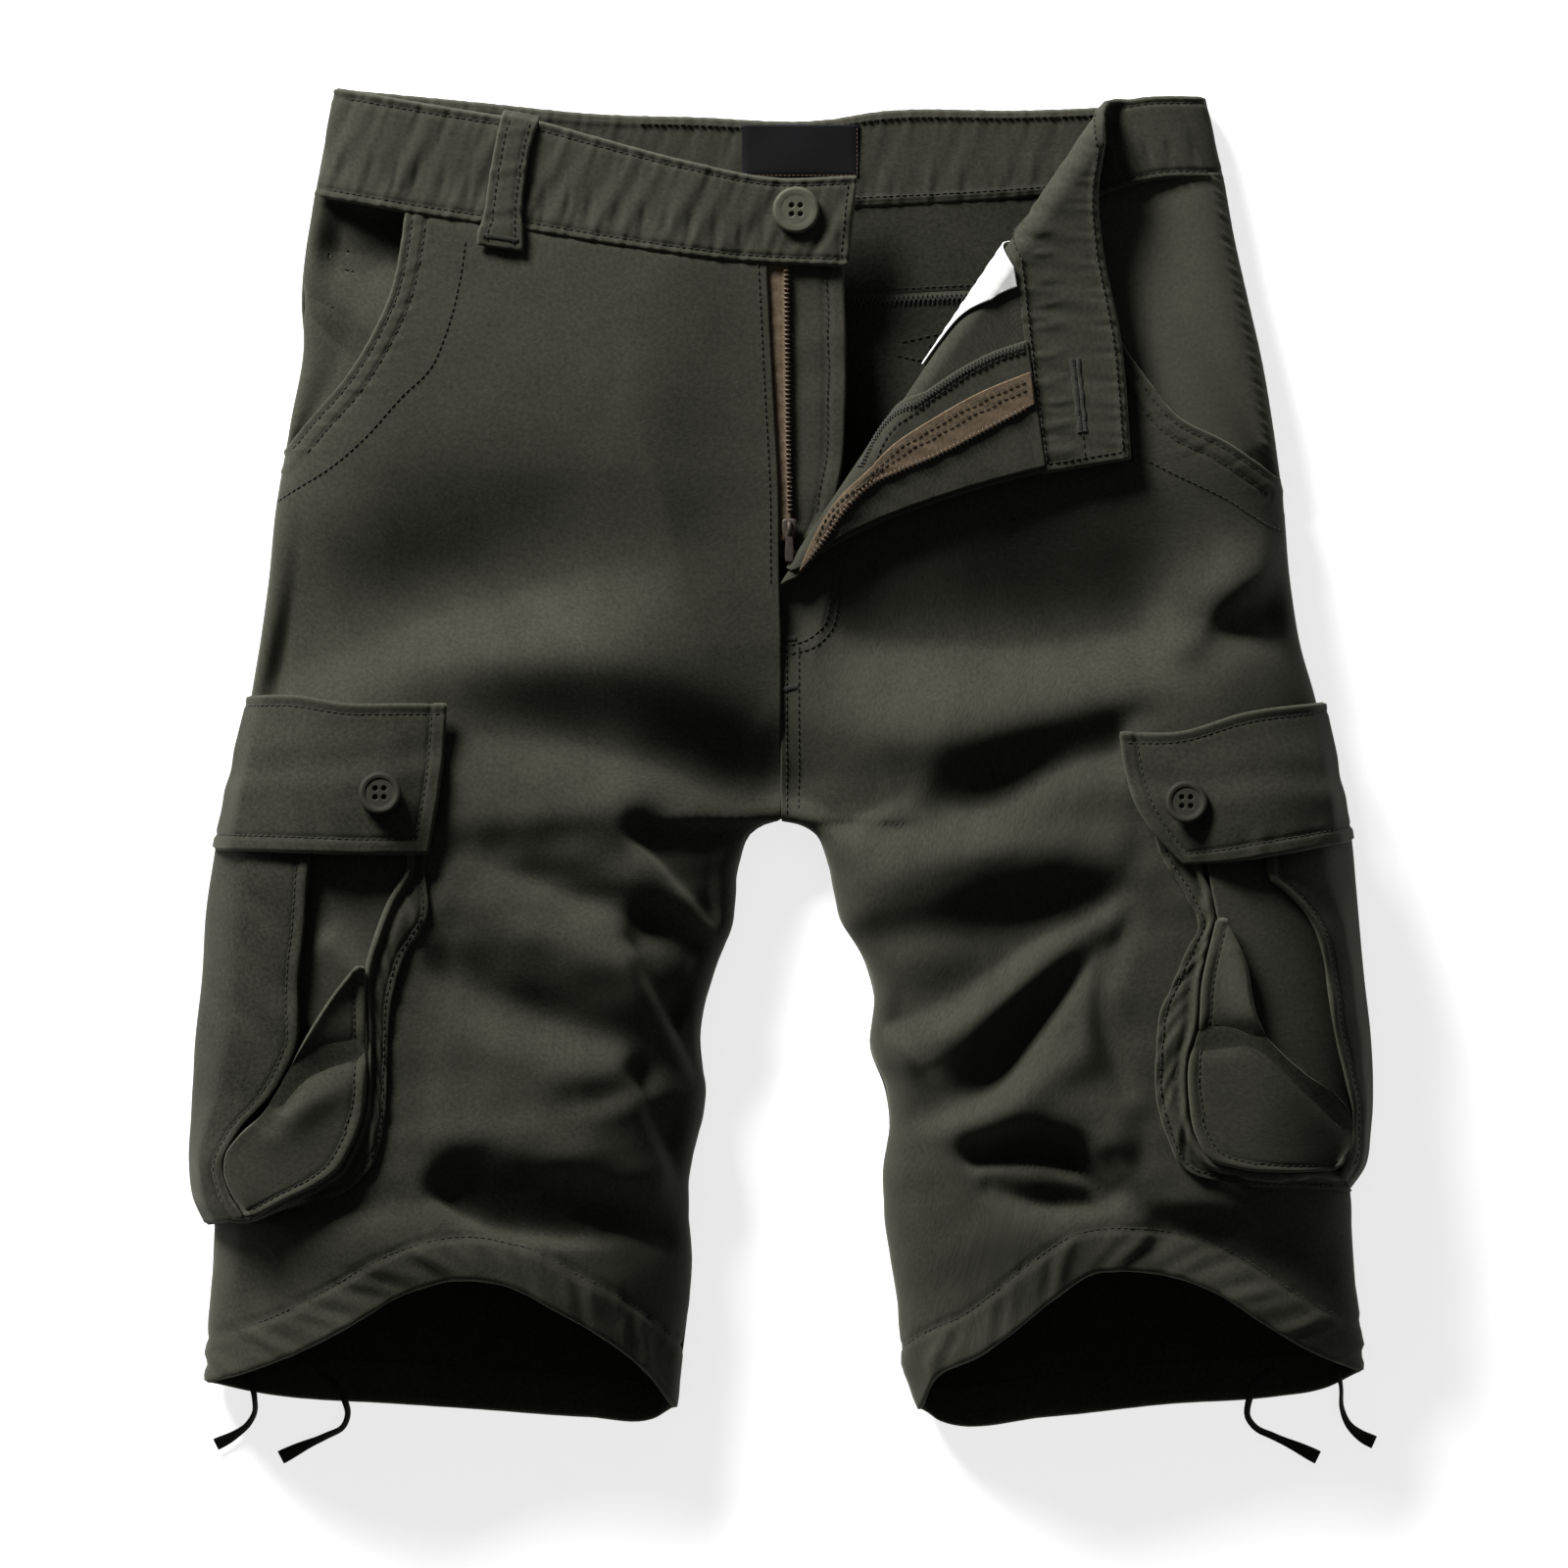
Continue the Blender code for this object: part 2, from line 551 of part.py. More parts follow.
def add_front_left():
    """The left front panel: rows from the turned-back corner's edges to its fold, then on
    from the fold to the hem."""
    hem_side = below(SIDE_CURVE["left"], MOUTH["left"][-1][1])
    outer = np.vstack([smooth(MOUTH["left"])[:-1], hem_side])
    waist = smooth(BAND_FOOT["left"])[::-1] - (0, 2 * SEAM_GAP)
    starts = fold_start(np.linspace(0, 1, 300))
    starts = starts[starts[:, 1] < np.interp(starts[:, 0], waist[:, 0], waist[:, 1])]
    foot_x = x_at(INNER_CURVE["left"], FOLD_FOOT_Y)
    guide = np.vstack([starts, [(foot_x, FOLD_FOOT_Y)]])
    outer[0] = guide[0]
    inner = below(INNER_CURVE["left"], FOLD_FOOT_Y)
    across = shares(18, 0.8)
    rest = coons(guide, smooth(FRONT_HEM["left"]), outer, inner, shares(31), across)
    waist = cut_by_x(waist, guide[0, 0], CENTRE_EDGE["left"][0][0])
    centre = smooth(CENTRE_EDGE["left"])
    centre = centre[(centre[:, 1] > FOLD_FOOT_Y) & (centre[:, 1] < waist[-1, 1] - 0.1)]
    edge = along(np.vstack([waist, centre, guide[-1:]]), across)
    corner = corner_grid(rest[0], edge, 5)
    grid = np.vstack([corner[:-1], rest])[:, ::-1]
    points = turned_corner(grid[..., 0], grid[..., 1], 0)
    points[..., 2] += SEAM_RISE_GAP
    cloth("front_left", points, CLOTH, twill, plan=grid)


def fold_stations(curve, before, around, after):
    """Points along an edge that crosses the fold: to it, round it and on to the end."""
    radius, past = fold_place(curve[:, 0], curve[:, 1])
    step = np.linalg.norm(np.diff(curve, axis=0), axis=1)
    at = np.concatenate([[0], np.cumsum(step)]) / step.sum()
    turned = past / (2 * radius)
    start, end = np.interp([0, 1], turned, at)
    wanted = np.concatenate([np.linspace(0, start, before, endpoint=False),
                             np.interp(np.linspace(0, 1, around), turned, at),
                             np.linspace(end, 1, after)[1:]])
    return along(curve, wanted)


def inseam_distance(x, y, side):
    """Distance from the nearest point of the inseam."""
    curve = smooth(INSEAM[side])
    return np.sqrt(((x[..., None] - curve[:, 0]) ** 2
                    + (y[..., None] - curve[:, 1]) ** 2).min(-1))


def back_height(x, y, side):
    """Height of the back's lower face: flat, turning up at the side seam and inseam."""
    from_side = np.abs(x - x_at(SIDE_CURVE[side], y))
    rise = (loft("seam", y) - SEAM_RISE_GAP) * (1 - quarter_round(from_side, BACK_TURN))
    from_inseam = inseam_distance(x, y, side)
    top = loft("inner", np.minimum(y, -31)) - SEAM_RISE_GAP
    return np.maximum(rise, top * (1 - quarter_round(from_inseam, BACK_TURN)))


def edge_shares(count, width, reach):
    """Shares across a width with a few steps round a turned-up edge at each end."""
    round_steps = reach * (1 - np.cos(np.linspace(0, np.pi / 2, 4))) / width
    flat = np.linspace(round_steps[-1], 1 - round_steps[-1], count)
    return np.concatenate([round_steps[:-1], flat, 1 - round_steps[-2::-1]])


def add_backs():
    """Back panels and yokes, lying flat, split at the centre back seam."""
    yoke_seam = smooth(YOKE_SEAM)
    band_foot = smooth(BAND_FOOT["back"])
    for side, sign in (("right", -1), ("left", 1)):
        centre = sign * SEAM_GAP / 2 + BACK_SEAM_X
        side_curve = SIDE_CURVE[side]
        yoke_y = YOKE_SEAM[0 if side == "right" else -1][1]
        side_x = x_at(side_curve, yoke_y)
        across = edge_shares(6, 215, BACK_TURN)
        top = cut_by_x(yoke_seam, side_x, centre) - (0, SEAM_GAP)
        inner = np.vstack([[(centre, top[-1, 1])], smooth(INSEAM[side])])
        outer = below(side_curve, yoke_y)
        outer[0] = top[0]
        grid = coons(top, smooth(BACK_HEM[side]), outer, inner, shares(19), across)
        z = back_height(grid[..., 0], grid[..., 1], side)
        cloth("back_" + side, raised(grid, z), CLOTH, twill, -1)
        foot = cut_by_x(yoke_seam, side_x, centre)
        waist = cut_by_x(band_foot, BAND_FOOT["back"][0 if side == "right" else -1][0], centre)
        waist = waist - (0, SEAM_GAP)
        outer = np.vstack([waist[:1], below(side_curve, waist[0, 1] - 1)])
        outer = np.vstack([outer[outer[:, 1] > foot[0, 1] + 0.01], foot[:1]])
        inner = np.array([waist[-1], foot[-1]])
        grid = coons(waist, foot, outer, inner, shares(4), across)
        z = back_height(grid[..., 0], grid[..., 1], side)
        cloth("yoke_" + side, raised(grid, z), CLOTH, twill, -1)


def band_grid(part, columns, rows=4):
    """The strip between a waistband's two edges."""
    top, foot = smooth(BAND_TOP[part]), smooth(BAND_FOOT[part])
    a, b = along(top, columns), along(foot, columns)
    v = shares(rows)[:, None, None]
    return a[None] * (1 - v) + b[None] * v


def add_waistband():
    """Right front, back and left front lengths of the band, with the loop and patch."""
    grid = band_grid("right", shares(20, 0.3))
    z = front_height(grid[..., 0], grid[..., 1], "right") + BAND_PROUD + SEAM_RISE_GAP
    cloth("waistband_right", raised(grid, z), BAND_CLOTH, twill)
    columns = edge_shares(14, 405, BACK_TURN)
    grid = band_grid("back", columns, 3)
    from_right = np.abs(grid[..., 0] - x_at(SIDE_CURVE["right"], grid[..., 1]))
    from_left = np.abs(grid[..., 0] - x_at(SIDE_CURVE["left"], grid[..., 1]))
    turn = 1 - quarter_round(np.minimum(from_right, from_left), BACK_TURN)
    z = (loft("seam", grid[..., 1]) - BAND_RISE_GAP) * turn
    cloth("waistband_back", raised(grid, z), BAND_CLOTH, twill, -1)
    v = shares(4)[:, None, None]
    top, foot = (fold_stations(smooth(edge["left"]), 5, 7, 12)
                 for edge in (BAND_TOP, BAND_FOOT))
    grid = top[None] * (1 - v) + foot[None] * v
    points = turned_corner(grid[..., 0], grid[..., 1], BAND_PROUD)
    points[..., 2] += SEAM_RISE_GAP
    cloth("waistband_left", points, BAND_CLOTH, twill, plan=grid)
    down = shares(9)
    grid = between(LOOP["outer"], LOOP["inner"], down, shares(3))
    bow = np.sin(np.pi * down)[:, None] ** 0.5
    z = front_height(grid[..., 0], grid[..., 1], "right") + BAND_PROUD + SEAM_RISE_GAP
    cloth("belt_loop", raised(grid, z + LOOP_CLOTH + LAYER_GAP + LOOP_LIFT * bow),
          LOOP_CLOTH, twill)
    x = np.linspace(PATCH["left"], PATCH["right"], 2)
    y = np.linspace(PATCH["top"], PATCH["foot"], 2)
    grid = np.stack(np.meshgrid(x, y), -1)
    z = BAND_CLOTH + LAYER_GAP + PATCH_CLOTH
    cloth("blank_patch", raised(grid, z), PATCH_CLOTH, patch_black)


def add_hand_pocket(side):
    """The facing that shows in the pocket mouth and runs on under the panel's edge."""
    top = cut_by_x(smooth(BAND_FOOT[side]), BAND_FOOT[side][0][0], FACING_EDGE[side][0][0])
    top = top - (0, 3 * SEAM_GAP)
    outer = below(SIDE_CURVE[side], top[0, 1])
    outer = outer[outer[:, 1] > MOUTH[side][-1][1] + FACING_TIP]
    down, u = shares(14)[:, None], 1 - np.cos(np.linspace(0, np.pi / 2, 9))
    foot = np.array([outer[-1], FACING_EDGE[side][-1]])
    hidden = smooth(FACING_EDGE[side])
    hidden[0] = top[-1]
    grid = coons(top, foot, outer, hidden, shares(14), u)
    sink = FACING_SINK * ease(1.5 * u * (1 + down)) - FACING_SIDE_LIFT * (1 - u) ** 2
    z = front_height(grid[..., 0], grid[..., 1], side) + SEAM_RISE_GAP - sink
    cloth("pocket_facing_" + side, raised(grid, z), CLOTH, twill)


def lapped(outer, inner, rows, columns):
    """A grid ruled between two rails, its columns closest where it goes round the fold."""
    a, b = along(smooth(outer), shares(rows)), along(smooth(inner), shares(rows))
    radius, first = fold_place(a[:, 0], a[:, 1])
    last = fold_place(b[:, 0], b[:, 1])[1]
    knee = np.clip((2 * radius - first) / (last - first), 0.15, 0.85)[:, None]
    near = np.linspace(0, 1, columns)[None]
    u = np.hstack([near * knee, knee + (1 - knee) * near[:, 1:]])[..., None]
    return a[:, None] * (1 - u) + b[:, None] * u


def add_fly():
    """Shield and tape on the right; facing, tape and pocket bag on the turned-back left."""
    across = shares(4)
    grid = between(TAPE_RIGHT["hidden"], TAPE_RIGHT["teeth"], shares(9), across)
    z = front_height(grid[..., 0], grid[..., 1], "right")
    depth = CLOTH + LAYER_GAP
    cloth("zip_tape_right", raised(grid, z - depth), THIN_CLOTH, tape_brown)
    grid = between(SHIELD["hidden"], SHIELD["free"], shares(9), across)
    z = front_height(grid[..., 0], grid[..., 1], "right")
    cloth("fly_shield", raised(grid, z - depth - THIN_CLOTH - LAYER_GAP), CLOTH, twill)
    layers = (
        ("fly_facing", FLY_FACING["outer"], FLY_FACING["centre"], twill, 5,
         CLOTH + FLY_LAYER_GAP),
        ("zip_tape_left", TAPE_LEFT["outer"], TAPE_LEFT["teeth"], tape_brown, 3,
         CLOTH + THIN_CLOTH + 2 * FLY_LAYER_GAP),
        ("pocket_bag", POCKET_BAG["outer"], POCKET_BAG["edge"], bag_white, 4,
         CLOTH + 2 * FLY_LAYER_GAP),
    )
    for name, outer, inner, material, columns, under in layers:
        grid = lapped(outer, inner, 19, columns)
        points = turned_corner(grid[..., 0], grid[..., 1], -under)
        points[..., 2] += SEAM_RISE_GAP
        cloth(name, points, THIN_CLOTH, material, plan=grid)


def face_height(grid, side, lift):
    """Heights of a pocket piece: the smooth skin of the pocket plus a lift."""
    return pocket_height(grid[..., 0], grid[..., 1], side) + SEAM_RISE_GAP + lift


def add_cargo_pocket(side):
    """Rear and front faces, pleat underlay, gusset, flap and button of one pocket."""
    rail = CARGO[side]
    down, across = shares(12), shares(5, 0.3)
    silhouette = below(smooth(rail["silhouette"]), -16)
    rear = along(smooth(rail["rear_front"]), down)
    outer = along(silhouette, down)
    u = across[None, :, None]
    grid = outer[:, None] * (1 - u) + rear[:, None] * u
    lift = FACE_LIFT * ease(across * 2.5) + REAR_LIP * across**2
    cloth("cargo_rear_" + side, raised(grid, face_height(grid, side, lift[None])),
          CLOTH, twill)
    across = 1 - np.cos(np.linspace(0, np.pi / 2, 7))
    grid = between(rail["front_rear"], rail["front_seam"], shares(14), across)
    lift = FACE_LIFT + FRONT_LIP * (1 - across) ** 2
    cloth("cargo_front_" + side, raised(grid, face_height(grid, side, lift[None])),
          CLOTH, twill)
    grid = between(rail["gusset_face"], rail["gusset_leg"], shares(18), shares(4))
    high = face_height(grid, side, FACE_LIFT - GUSSET_TUCK)
    low = front_height(grid[..., 0], grid[..., 1], side) + SEAM_RISE_GAP
    low = low + CLOTH + GUSSET_LEG_LIFT
    u = shares(4)[None]
    z = high * (1 - u) + low * u
    cloth("cargo_gusset_" + side, raised(grid, z), CLOTH, twill)
    grid = between(rail["pleat_rear"], rail["pleat_front"], shares(8), shares(5))
    cloth("cargo_pleat_" + side, raised(grid, face_height(grid, side, PLEAT_LIFT)),
          CLOTH, twill)
    grid = between(rail["flap_top"], rail["flap_foot"], shares(12), shares(6))
    grid = grid.transpose(1, 0, 2)
    v = shares(6)[:, None]
    lift = FLAP_TOP_LIFT + (FLAP_FOOT_LIFT - FLAP_TOP_LIFT) * ease(v * 1.3)
    cloth("cargo_flap_" + side, raised(grid, face_height(grid, side, lift)),
          FLAP_CLOTH, twill)


def add_button(name, centre, radius, z, tilt_x=0.0, tilt_y=0.0):
    """A turned disc with a raised rim and a dished middle."""
    half = BUTTON_THICK / 2
    profile = [(0, half - 0.9), (0.62, half - 0.9), (0.74, half - 0.1), (0.86, half),
               (0.96, half - 0.4), (1, 0), (0.93, -half), (0, -half)]
    vertices = [(share * radius * MM, 0, height * MM) for share, height in profile]
    mesh = bpy.data.meshes.new(name)
    mesh.from_pydata(vertices, [(k, k + 1) for k in range(len(vertices) - 1)], [])
    button = add_object(name, mesh, button_dark, garment)
    turn = button.modifiers.new("Turn", "SCREW")
    turn.steps = turn.render_steps = BUTTON_STEPS
    turn.use_merge_vertices = True
    turn.merge_threshold = 0.00005
    turn.use_smooth_shade = True
    button.location = (centre[0] * MM, centre[1] * MM, (z + half + BUTTON_SHANK) * MM)
    button.rotation_euler = (tilt_x, tilt_y, 0)


def surface_tilt(height, x, y, reach=8.0):
    """Rotations about X and Y that lay a disc on a surface, from its slopes."""
    rise_x = (height(x + reach, y) - height(x - reach, y)) / (2 * reach)
    rise_y = (height(x, y + reach) - height(x, y - reach)) / (2 * reach)
    return float(np.arctan(rise_y)), float(-np.arctan(rise_x))


def add_buttons():
    """The waist button and one on each cargo flap, each laid on its cloth."""
    x, y = WAIST_BUTTON
    z = float(loft("inner", y)) + BAND_PROUD + SEAM_RISE_GAP
    add_button("waist_button", (x, y), BUTTON_RADIUS, z + 0.6)
    for side in ("right", "left"):
        x, y = CARGO[side]["button"]
        top = CARGO[side]["flap_top"][-2][1]
        foot = CARGO[side]["flap_foot"][-2][1]

        def flap(px, py, side=side, top=top, foot=foot):
            v = (top - py) / (top - foot)
            lift = FLAP_TOP_LIFT + (FLAP_FOOT_LIFT - FLAP_TOP_LIFT) * ease(v * 1.3)
            skin = pocket_height(np.float64(px), np.float64(py), side)
            return float(skin + SEAM_RISE_GAP + lift)

        tilt = surface_tilt(flap, x, y)
        add_button("cargo_button_" + side, (x, y), POCKET_BUTTON_RADIUS,
                   flap(x, y) + 1.2, *tilt)


def add_box(name, size, centre, bevel, material, parent):
    """A block with rounded edges, from its size and the middle of its place."""
    bpy.ops.mesh.primitive_cube_add(size=1)
    box = bpy.context.active_object
    box.name = box.data.name = name
    for collection in list(box.users_collection):
        collection.objects.unlink(box)
    parts.objects.link(box)
    box.data.transform(Matrix.Diagonal((*(value * MM for value in size), 1)))
    box.data.materials.append(material)
    box.parent = parent
    box.location = [value * MM for value in centre]
    edge = box.modifiers.new("Edges", "BEVEL")
    edge.width = bevel * MM
    edge.segments = 2
    return box


def add_slider():
    """The zip's slider on the teeth, and the pull tab lying down from its bridge."""
    x, y = SLIDER
    tape = float(loft("inner", y)) - CLOTH - LAYER_GAP
    base = tape + LAYER_GAP
    add_box("zip_slider", (SLIDER_WIDTH, SLIDER_LENGTH, SLIDER_THICK),
            (x, y, base + SLIDER_THICK / 2), 0.7, brass, garment)
    hinge = bpy.data.objects.new("pull_hinge", None)
    parts.objects.link(hinge)
    hinge.parent = garment
    hinge_z = base + SLIDER_THICK + SEAM_GAP + PULL_THICK / 2
    hinge.location = (x * MM, PULL_HINGE_Y * MM, hinge_z * MM)
    add_box("zip_pull", (PULL_WIDTH, PULL_LENGTH, PULL_THICK),
            (0, PULL_THICK / 2 - PULL_LENGTH / 2, 0), PULL_BEVEL, brass, hinge)


def add_cords():
    """The free ends of the hem drawcords, from inside the back hem on to the surface."""
    radius = CORD_DIAMETER / 2
    for name, points in CORDS.items():
        plan = smooth(points)
        hem = -296 if "right" in name else -293
        over = ease((plan[:, 1] - (hem - 9)) / 7)
        z = radius + 0.1 + (CLOTH + 0.4) * over
        line = along(np.column_stack([plan, z]), shares(10))
        data = bpy.data.curves.new(name, "CURVE")
        data.dimensions = "3D"
        data.bevel_depth = radius * MM
        data.bevel_resolution = 1
        data.use_fill_caps = True
        spline = data.splines.new("POLY")
        spline.points.add(len(line) - 1)
        for point, place in zip(spline.points, line):
            point.co = (*(place * MM), 1)
        add_object(name, data, cord_black, garment)


for old in list(bpy.data.objects):
    bpy.data.objects.remove(old, do_unlink=True)

parts = bpy.data.collections.new("cargo_shorts")
bpy.context.scene.collection.children.link(parts)
garment = bpy.data.objects.new("garment", None)
parts.objects.link(garment)
garment.location = (-CENTRE_X * MM, -CENTRE_Y * MM, 0)

twill = make_material("olive_twill", (0.026, 0.027, 0.021), 0.9)
bag_white = make_material("pocketing", (0.75, 0.75, 0.73), 0.9)
tape_brown = make_material("zip_tape", (0.09, 0.07, 0.055), 0.9)
patch_black = make_material("blank_patch", (0.006, 0.006, 0.006), 0.8)
button_dark = make_material("button_resin", (0.03, 0.03, 0.025), 0.45)
brass = make_material("dark_brass", (0.09, 0.07, 0.05), 0.4, 1.0)
cord_black = make_material("cord_tape", (0.012, 0.012, 0.012), 0.9)

add_backs()
add_waistband()
add_front_right()
add_front_left()
for leg in ("right", "left"):
    add_hand_pocket(leg)
    add_cargo_pocket(leg)
add_fly()
add_buttons()
add_slider()
add_cords()
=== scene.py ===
"""The looks of a pair of cargo shorts that lie on their back, front up, with the left fly
corner turned back.

Every table and function works in millimetres on the plan of the shorts: x runs across
them with the wearer's right leg at -x, y runs from the hems up to the waist, z up from the
surface they lie on. A cloth piece is a surface worked out from two plan values, given its
relief along its normal, and closed with a wall and a rounded edge.
"""

import bmesh
import bpy
import numpy as np
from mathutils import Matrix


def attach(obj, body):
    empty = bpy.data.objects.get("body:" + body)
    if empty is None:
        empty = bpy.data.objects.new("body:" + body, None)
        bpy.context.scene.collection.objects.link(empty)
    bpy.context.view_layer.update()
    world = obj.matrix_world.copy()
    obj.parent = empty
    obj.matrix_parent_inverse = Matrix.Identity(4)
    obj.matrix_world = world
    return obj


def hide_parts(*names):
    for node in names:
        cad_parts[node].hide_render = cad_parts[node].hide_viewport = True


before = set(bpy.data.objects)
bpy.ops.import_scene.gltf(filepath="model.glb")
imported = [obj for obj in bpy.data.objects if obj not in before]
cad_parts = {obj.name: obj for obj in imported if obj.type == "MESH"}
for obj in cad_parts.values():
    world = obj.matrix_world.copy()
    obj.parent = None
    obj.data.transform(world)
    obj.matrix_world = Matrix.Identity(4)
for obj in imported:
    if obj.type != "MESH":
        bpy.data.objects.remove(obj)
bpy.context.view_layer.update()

# ---- Camera -----------------------------------------------------------------------------
# It hangs straight above the shorts with the waist at the top of the picture, and takes
# in a square of cloth 720 mm wide.
VIEW_WIDTH = 0.720
VIEW_CENTRE = (0.0014, -0.0134)
CAMERA_HEIGHT = 5.0
CLOTH_LEVEL = 0.03
SENSOR = 36.0

camera_data = bpy.data.cameras.new("camera")
camera_data.sensor_width = SENSOR
camera_data.lens = SENSOR * (CAMERA_HEIGHT - CLOTH_LEVEL) / VIEW_WIDTH
camera = bpy.data.objects.new("camera", camera_data)
camera.location = (*VIEW_CENTRE, CAMERA_HEIGHT)
bpy.context.scene.collection.objects.link(camera)
bpy.context.scene.camera = camera


# ---- Hem drawcords ----------------------------------------------------------------------
# Two free ends of flat woven tape hang out of each hem casing. They lie twisted on the
# surface and flare a little where they are cut off.
MM = 0.001
PLAN_TO_WORLD = (0.975, 0.565, 0.0)
TAPE_CORD = {"width": 4.0, "flare": 6.6, "thick": 1.0, "over_hem": 2.0, "lift": 0.1}
TAPE_STEPS, TAPE_AROUND = 40, 16
TAPE_ROUNDNESS = 0.6
CORD_ROUTES = {
    "drawcord_right_outer": [(-249, -281), (-245.5, -290), (-244, -297), (-244, -304),
                             (-247, -309.5), (-254, -315), (-262, -319)],
    "drawcord_right_inner": [(-214, -286), (-206, -291), (-202.5, -298), (-201, -305),
                             (-203, -310.5), (-211, -315), (-221, -319.5), (-232, -325)],
    "drawcord_left_outer": [(250, -274), (255.5, -283), (257.5, -292), (258, -302),
                            (261, -309.5), (267, -315), (273, -318)],
    "drawcord_left_inner": [(224, -285), (218, -291), (215, -299), (214.5, -306),
                            (218, -311), (226, -315), (237, -320), (247, -325)],
}
HEM_AT_CORD = {"right": -305.0, "left": -302.0}
HEM_RISE_RUN = 7
# A tape's turn in radians at the hem, between and at its cut end.
CORD_TWIST = {"drawcord_right_outer": (0.2, 1.0, 0.5), "drawcord_right_inner": (0.1, 0.9, 0.2),
              "drawcord_left_outer": (0.2, 1.1, 0.4), "drawcord_left_inner": (0.1, 0.8, 0.3)}
MERGE = 0.01
# A wave texture at scale 1 repeats every 0.314 of its coordinates.
WAVE_REPEAT = 0.314
DYE_SCALE = 0.045
DARKEST_DYE = 0.12


def smooth(points, steps=14):
    """A dense curve through the points: cubic spans whose end slopes follow the chords."""
    points = np.array(points, float)
    chord = np.linalg.norm(np.diff(points, axis=0), axis=1)
    at = np.concatenate([[0], np.cumsum(chord)])
    slope = np.gradient(points, at, axis=0)
    t = np.linspace(0, 1, steps, endpoint=False)[:, None]
    spans = []
    for k, length in enumerate(chord):
        start, end = points[k], points[k + 1]
        rise0, rise1 = slope[k] * length, slope[k + 1] * length
        spans.append((2 * t**3 - 3 * t**2 + 1) * start + (t**3 - 2 * t**2 + t) * rise0
                     + (3 * t**2 - 2 * t**3) * end + (t**3 - t**2) * rise1)
    return np.vstack(spans + [points[-1:]])


def run_of(curve):
    """How far along a dense curve each of its points lies."""
    step = np.linalg.norm(np.diff(curve, axis=0), axis=1)
    return np.concatenate([[0], np.cumsum(step)])


def at_run(curve, run, wanted):
    """The curve's values where its run has the wanted lengths."""
    return np.stack([np.interp(wanted, run, curve[:, k]) for k in range(curve.shape[1])], -1)


def along(curve, shares):
    """The points at the given shares of a dense curve's length."""
    run = run_of(curve)
    return at_run(curve, run, np.asarray(shares) * run[-1])


def ease(t):
    """0 up to t = 0, 1 from t = 1 on, and 3 t^2 - 2 t^3 between."""
    t = np.clip(t, 0, 1)
    return t * t * (3 - 2 * t)


def unit(vectors):
    """Each vector over its own length."""
    return vectors / np.maximum(np.linalg.norm(vectors, axis=-1, keepdims=True), 1e-9)


def add_piece(name, points, faces, material, uv=None, wear_and_shade=None):
    """A closed mesh from plan points (n, 3) and faces, its normals turned outwards.

    uv is each point's place on its own cloth in millimetres. Its wear and shade value
    lightens its colour above 0 and darkens it below 0: wear on raised cloth, painted shade
    in hollows, and painted light and painted shade over some whole pieces.
    """
    mesh = bpy.data.meshes.new(name)
    mesh.from_pydata(((np.asarray(points) + PLAN_TO_WORLD) * MM).tolist(), [], faces)
    if uv is not None:
        corner = np.empty(len(mesh.loops), np.int32)
        mesh.loops.foreach_get("vertex_index", corner)
        layer = mesh.uv_layers.new(name="cloth")
        layer.data.foreach_set("uv", np.asarray(uv, np.float32)[corner].ravel())
    if wear_and_shade is not None:
        values = mesh.attributes.new("wear_and_shade", "FLOAT", "POINT").data
        values.foreach_set("value", np.asarray(wear_and_shade, np.float32).ravel())
    shell = bmesh.new()
    shell.from_mesh(mesh)
    bmesh.ops.remove_doubles(shell, verts=shell.verts, dist=MERGE * MM)
    bmesh.ops.recalc_face_normals(shell, faces=shell.faces)
    shell.to_mesh(mesh)
    shell.free()
    mesh.shade_smooth()
    mesh.materials.append(material)
    piece = bpy.data.objects.new(name, mesh)
    bpy.context.scene.collection.objects.link(piece)
    return piece


def settle(piece, slot, *nodes, body="shorts"):
    """The piece rides on its body and stands for its CAD nodes, which it hides. slot is not
    used.
    """
    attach(piece, body)
    if nodes:
        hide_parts(*nodes)


def tube_faces(rings, around, first=0):
    """Quads from ring to ring and a cap at each end, for points laid ring by ring."""
    i = first + np.arange((rings - 1) * around).reshape(rings - 1, around)
    j = np.roll(i, -1, axis=1)
    quads = np.stack([i, j, j + around, i + around], -1).reshape(-1, 4).tolist()
    last = first + (rings - 1) * around
    caps = [list(range(first + around - 1, first - 1, -1)), list(range(last, last + around))]
    return quads + caps


def add_node(tree, kind, inputs=(), **settings):
    """A shader node with its settings, each input a value or another node's output."""
    made = tree.nodes.new(kind)
    for key, value in settings.items():
        setattr(made, key, value)
    for key, value in dict(inputs).items():
        if isinstance(value, bpy.types.NodeSocket):
            tree.links.new(value, made.inputs[key])
        else:
            made.inputs[key].default_value = value
    return made


def math(tree, operation, *values):
    """The result of a Math node on two or three values or outputs."""
    return add_node(tree, "ShaderNodeMath", enumerate(values), operation=operation).outputs[0]


def new_material(name, **sockets):
    """A Principled material and its tree, with constant values set on its sockets."""
    material = bpy.data.materials.new(name)
    material.use_nodes = True
    shader = material.node_tree.nodes["Principled BSDF"]
    for key, value in sockets.items():
        shader.inputs[key.replace("_", " ")].default_value = value
    return material, material.node_tree, shader


def shaded(tree, colour, shade):
    """A colour times a factor, as an output."""
    return add_node(tree, "ShaderNodeVectorMath", {0: colour, "Scale": shade},
                    operation="SCALE").outputs[0]


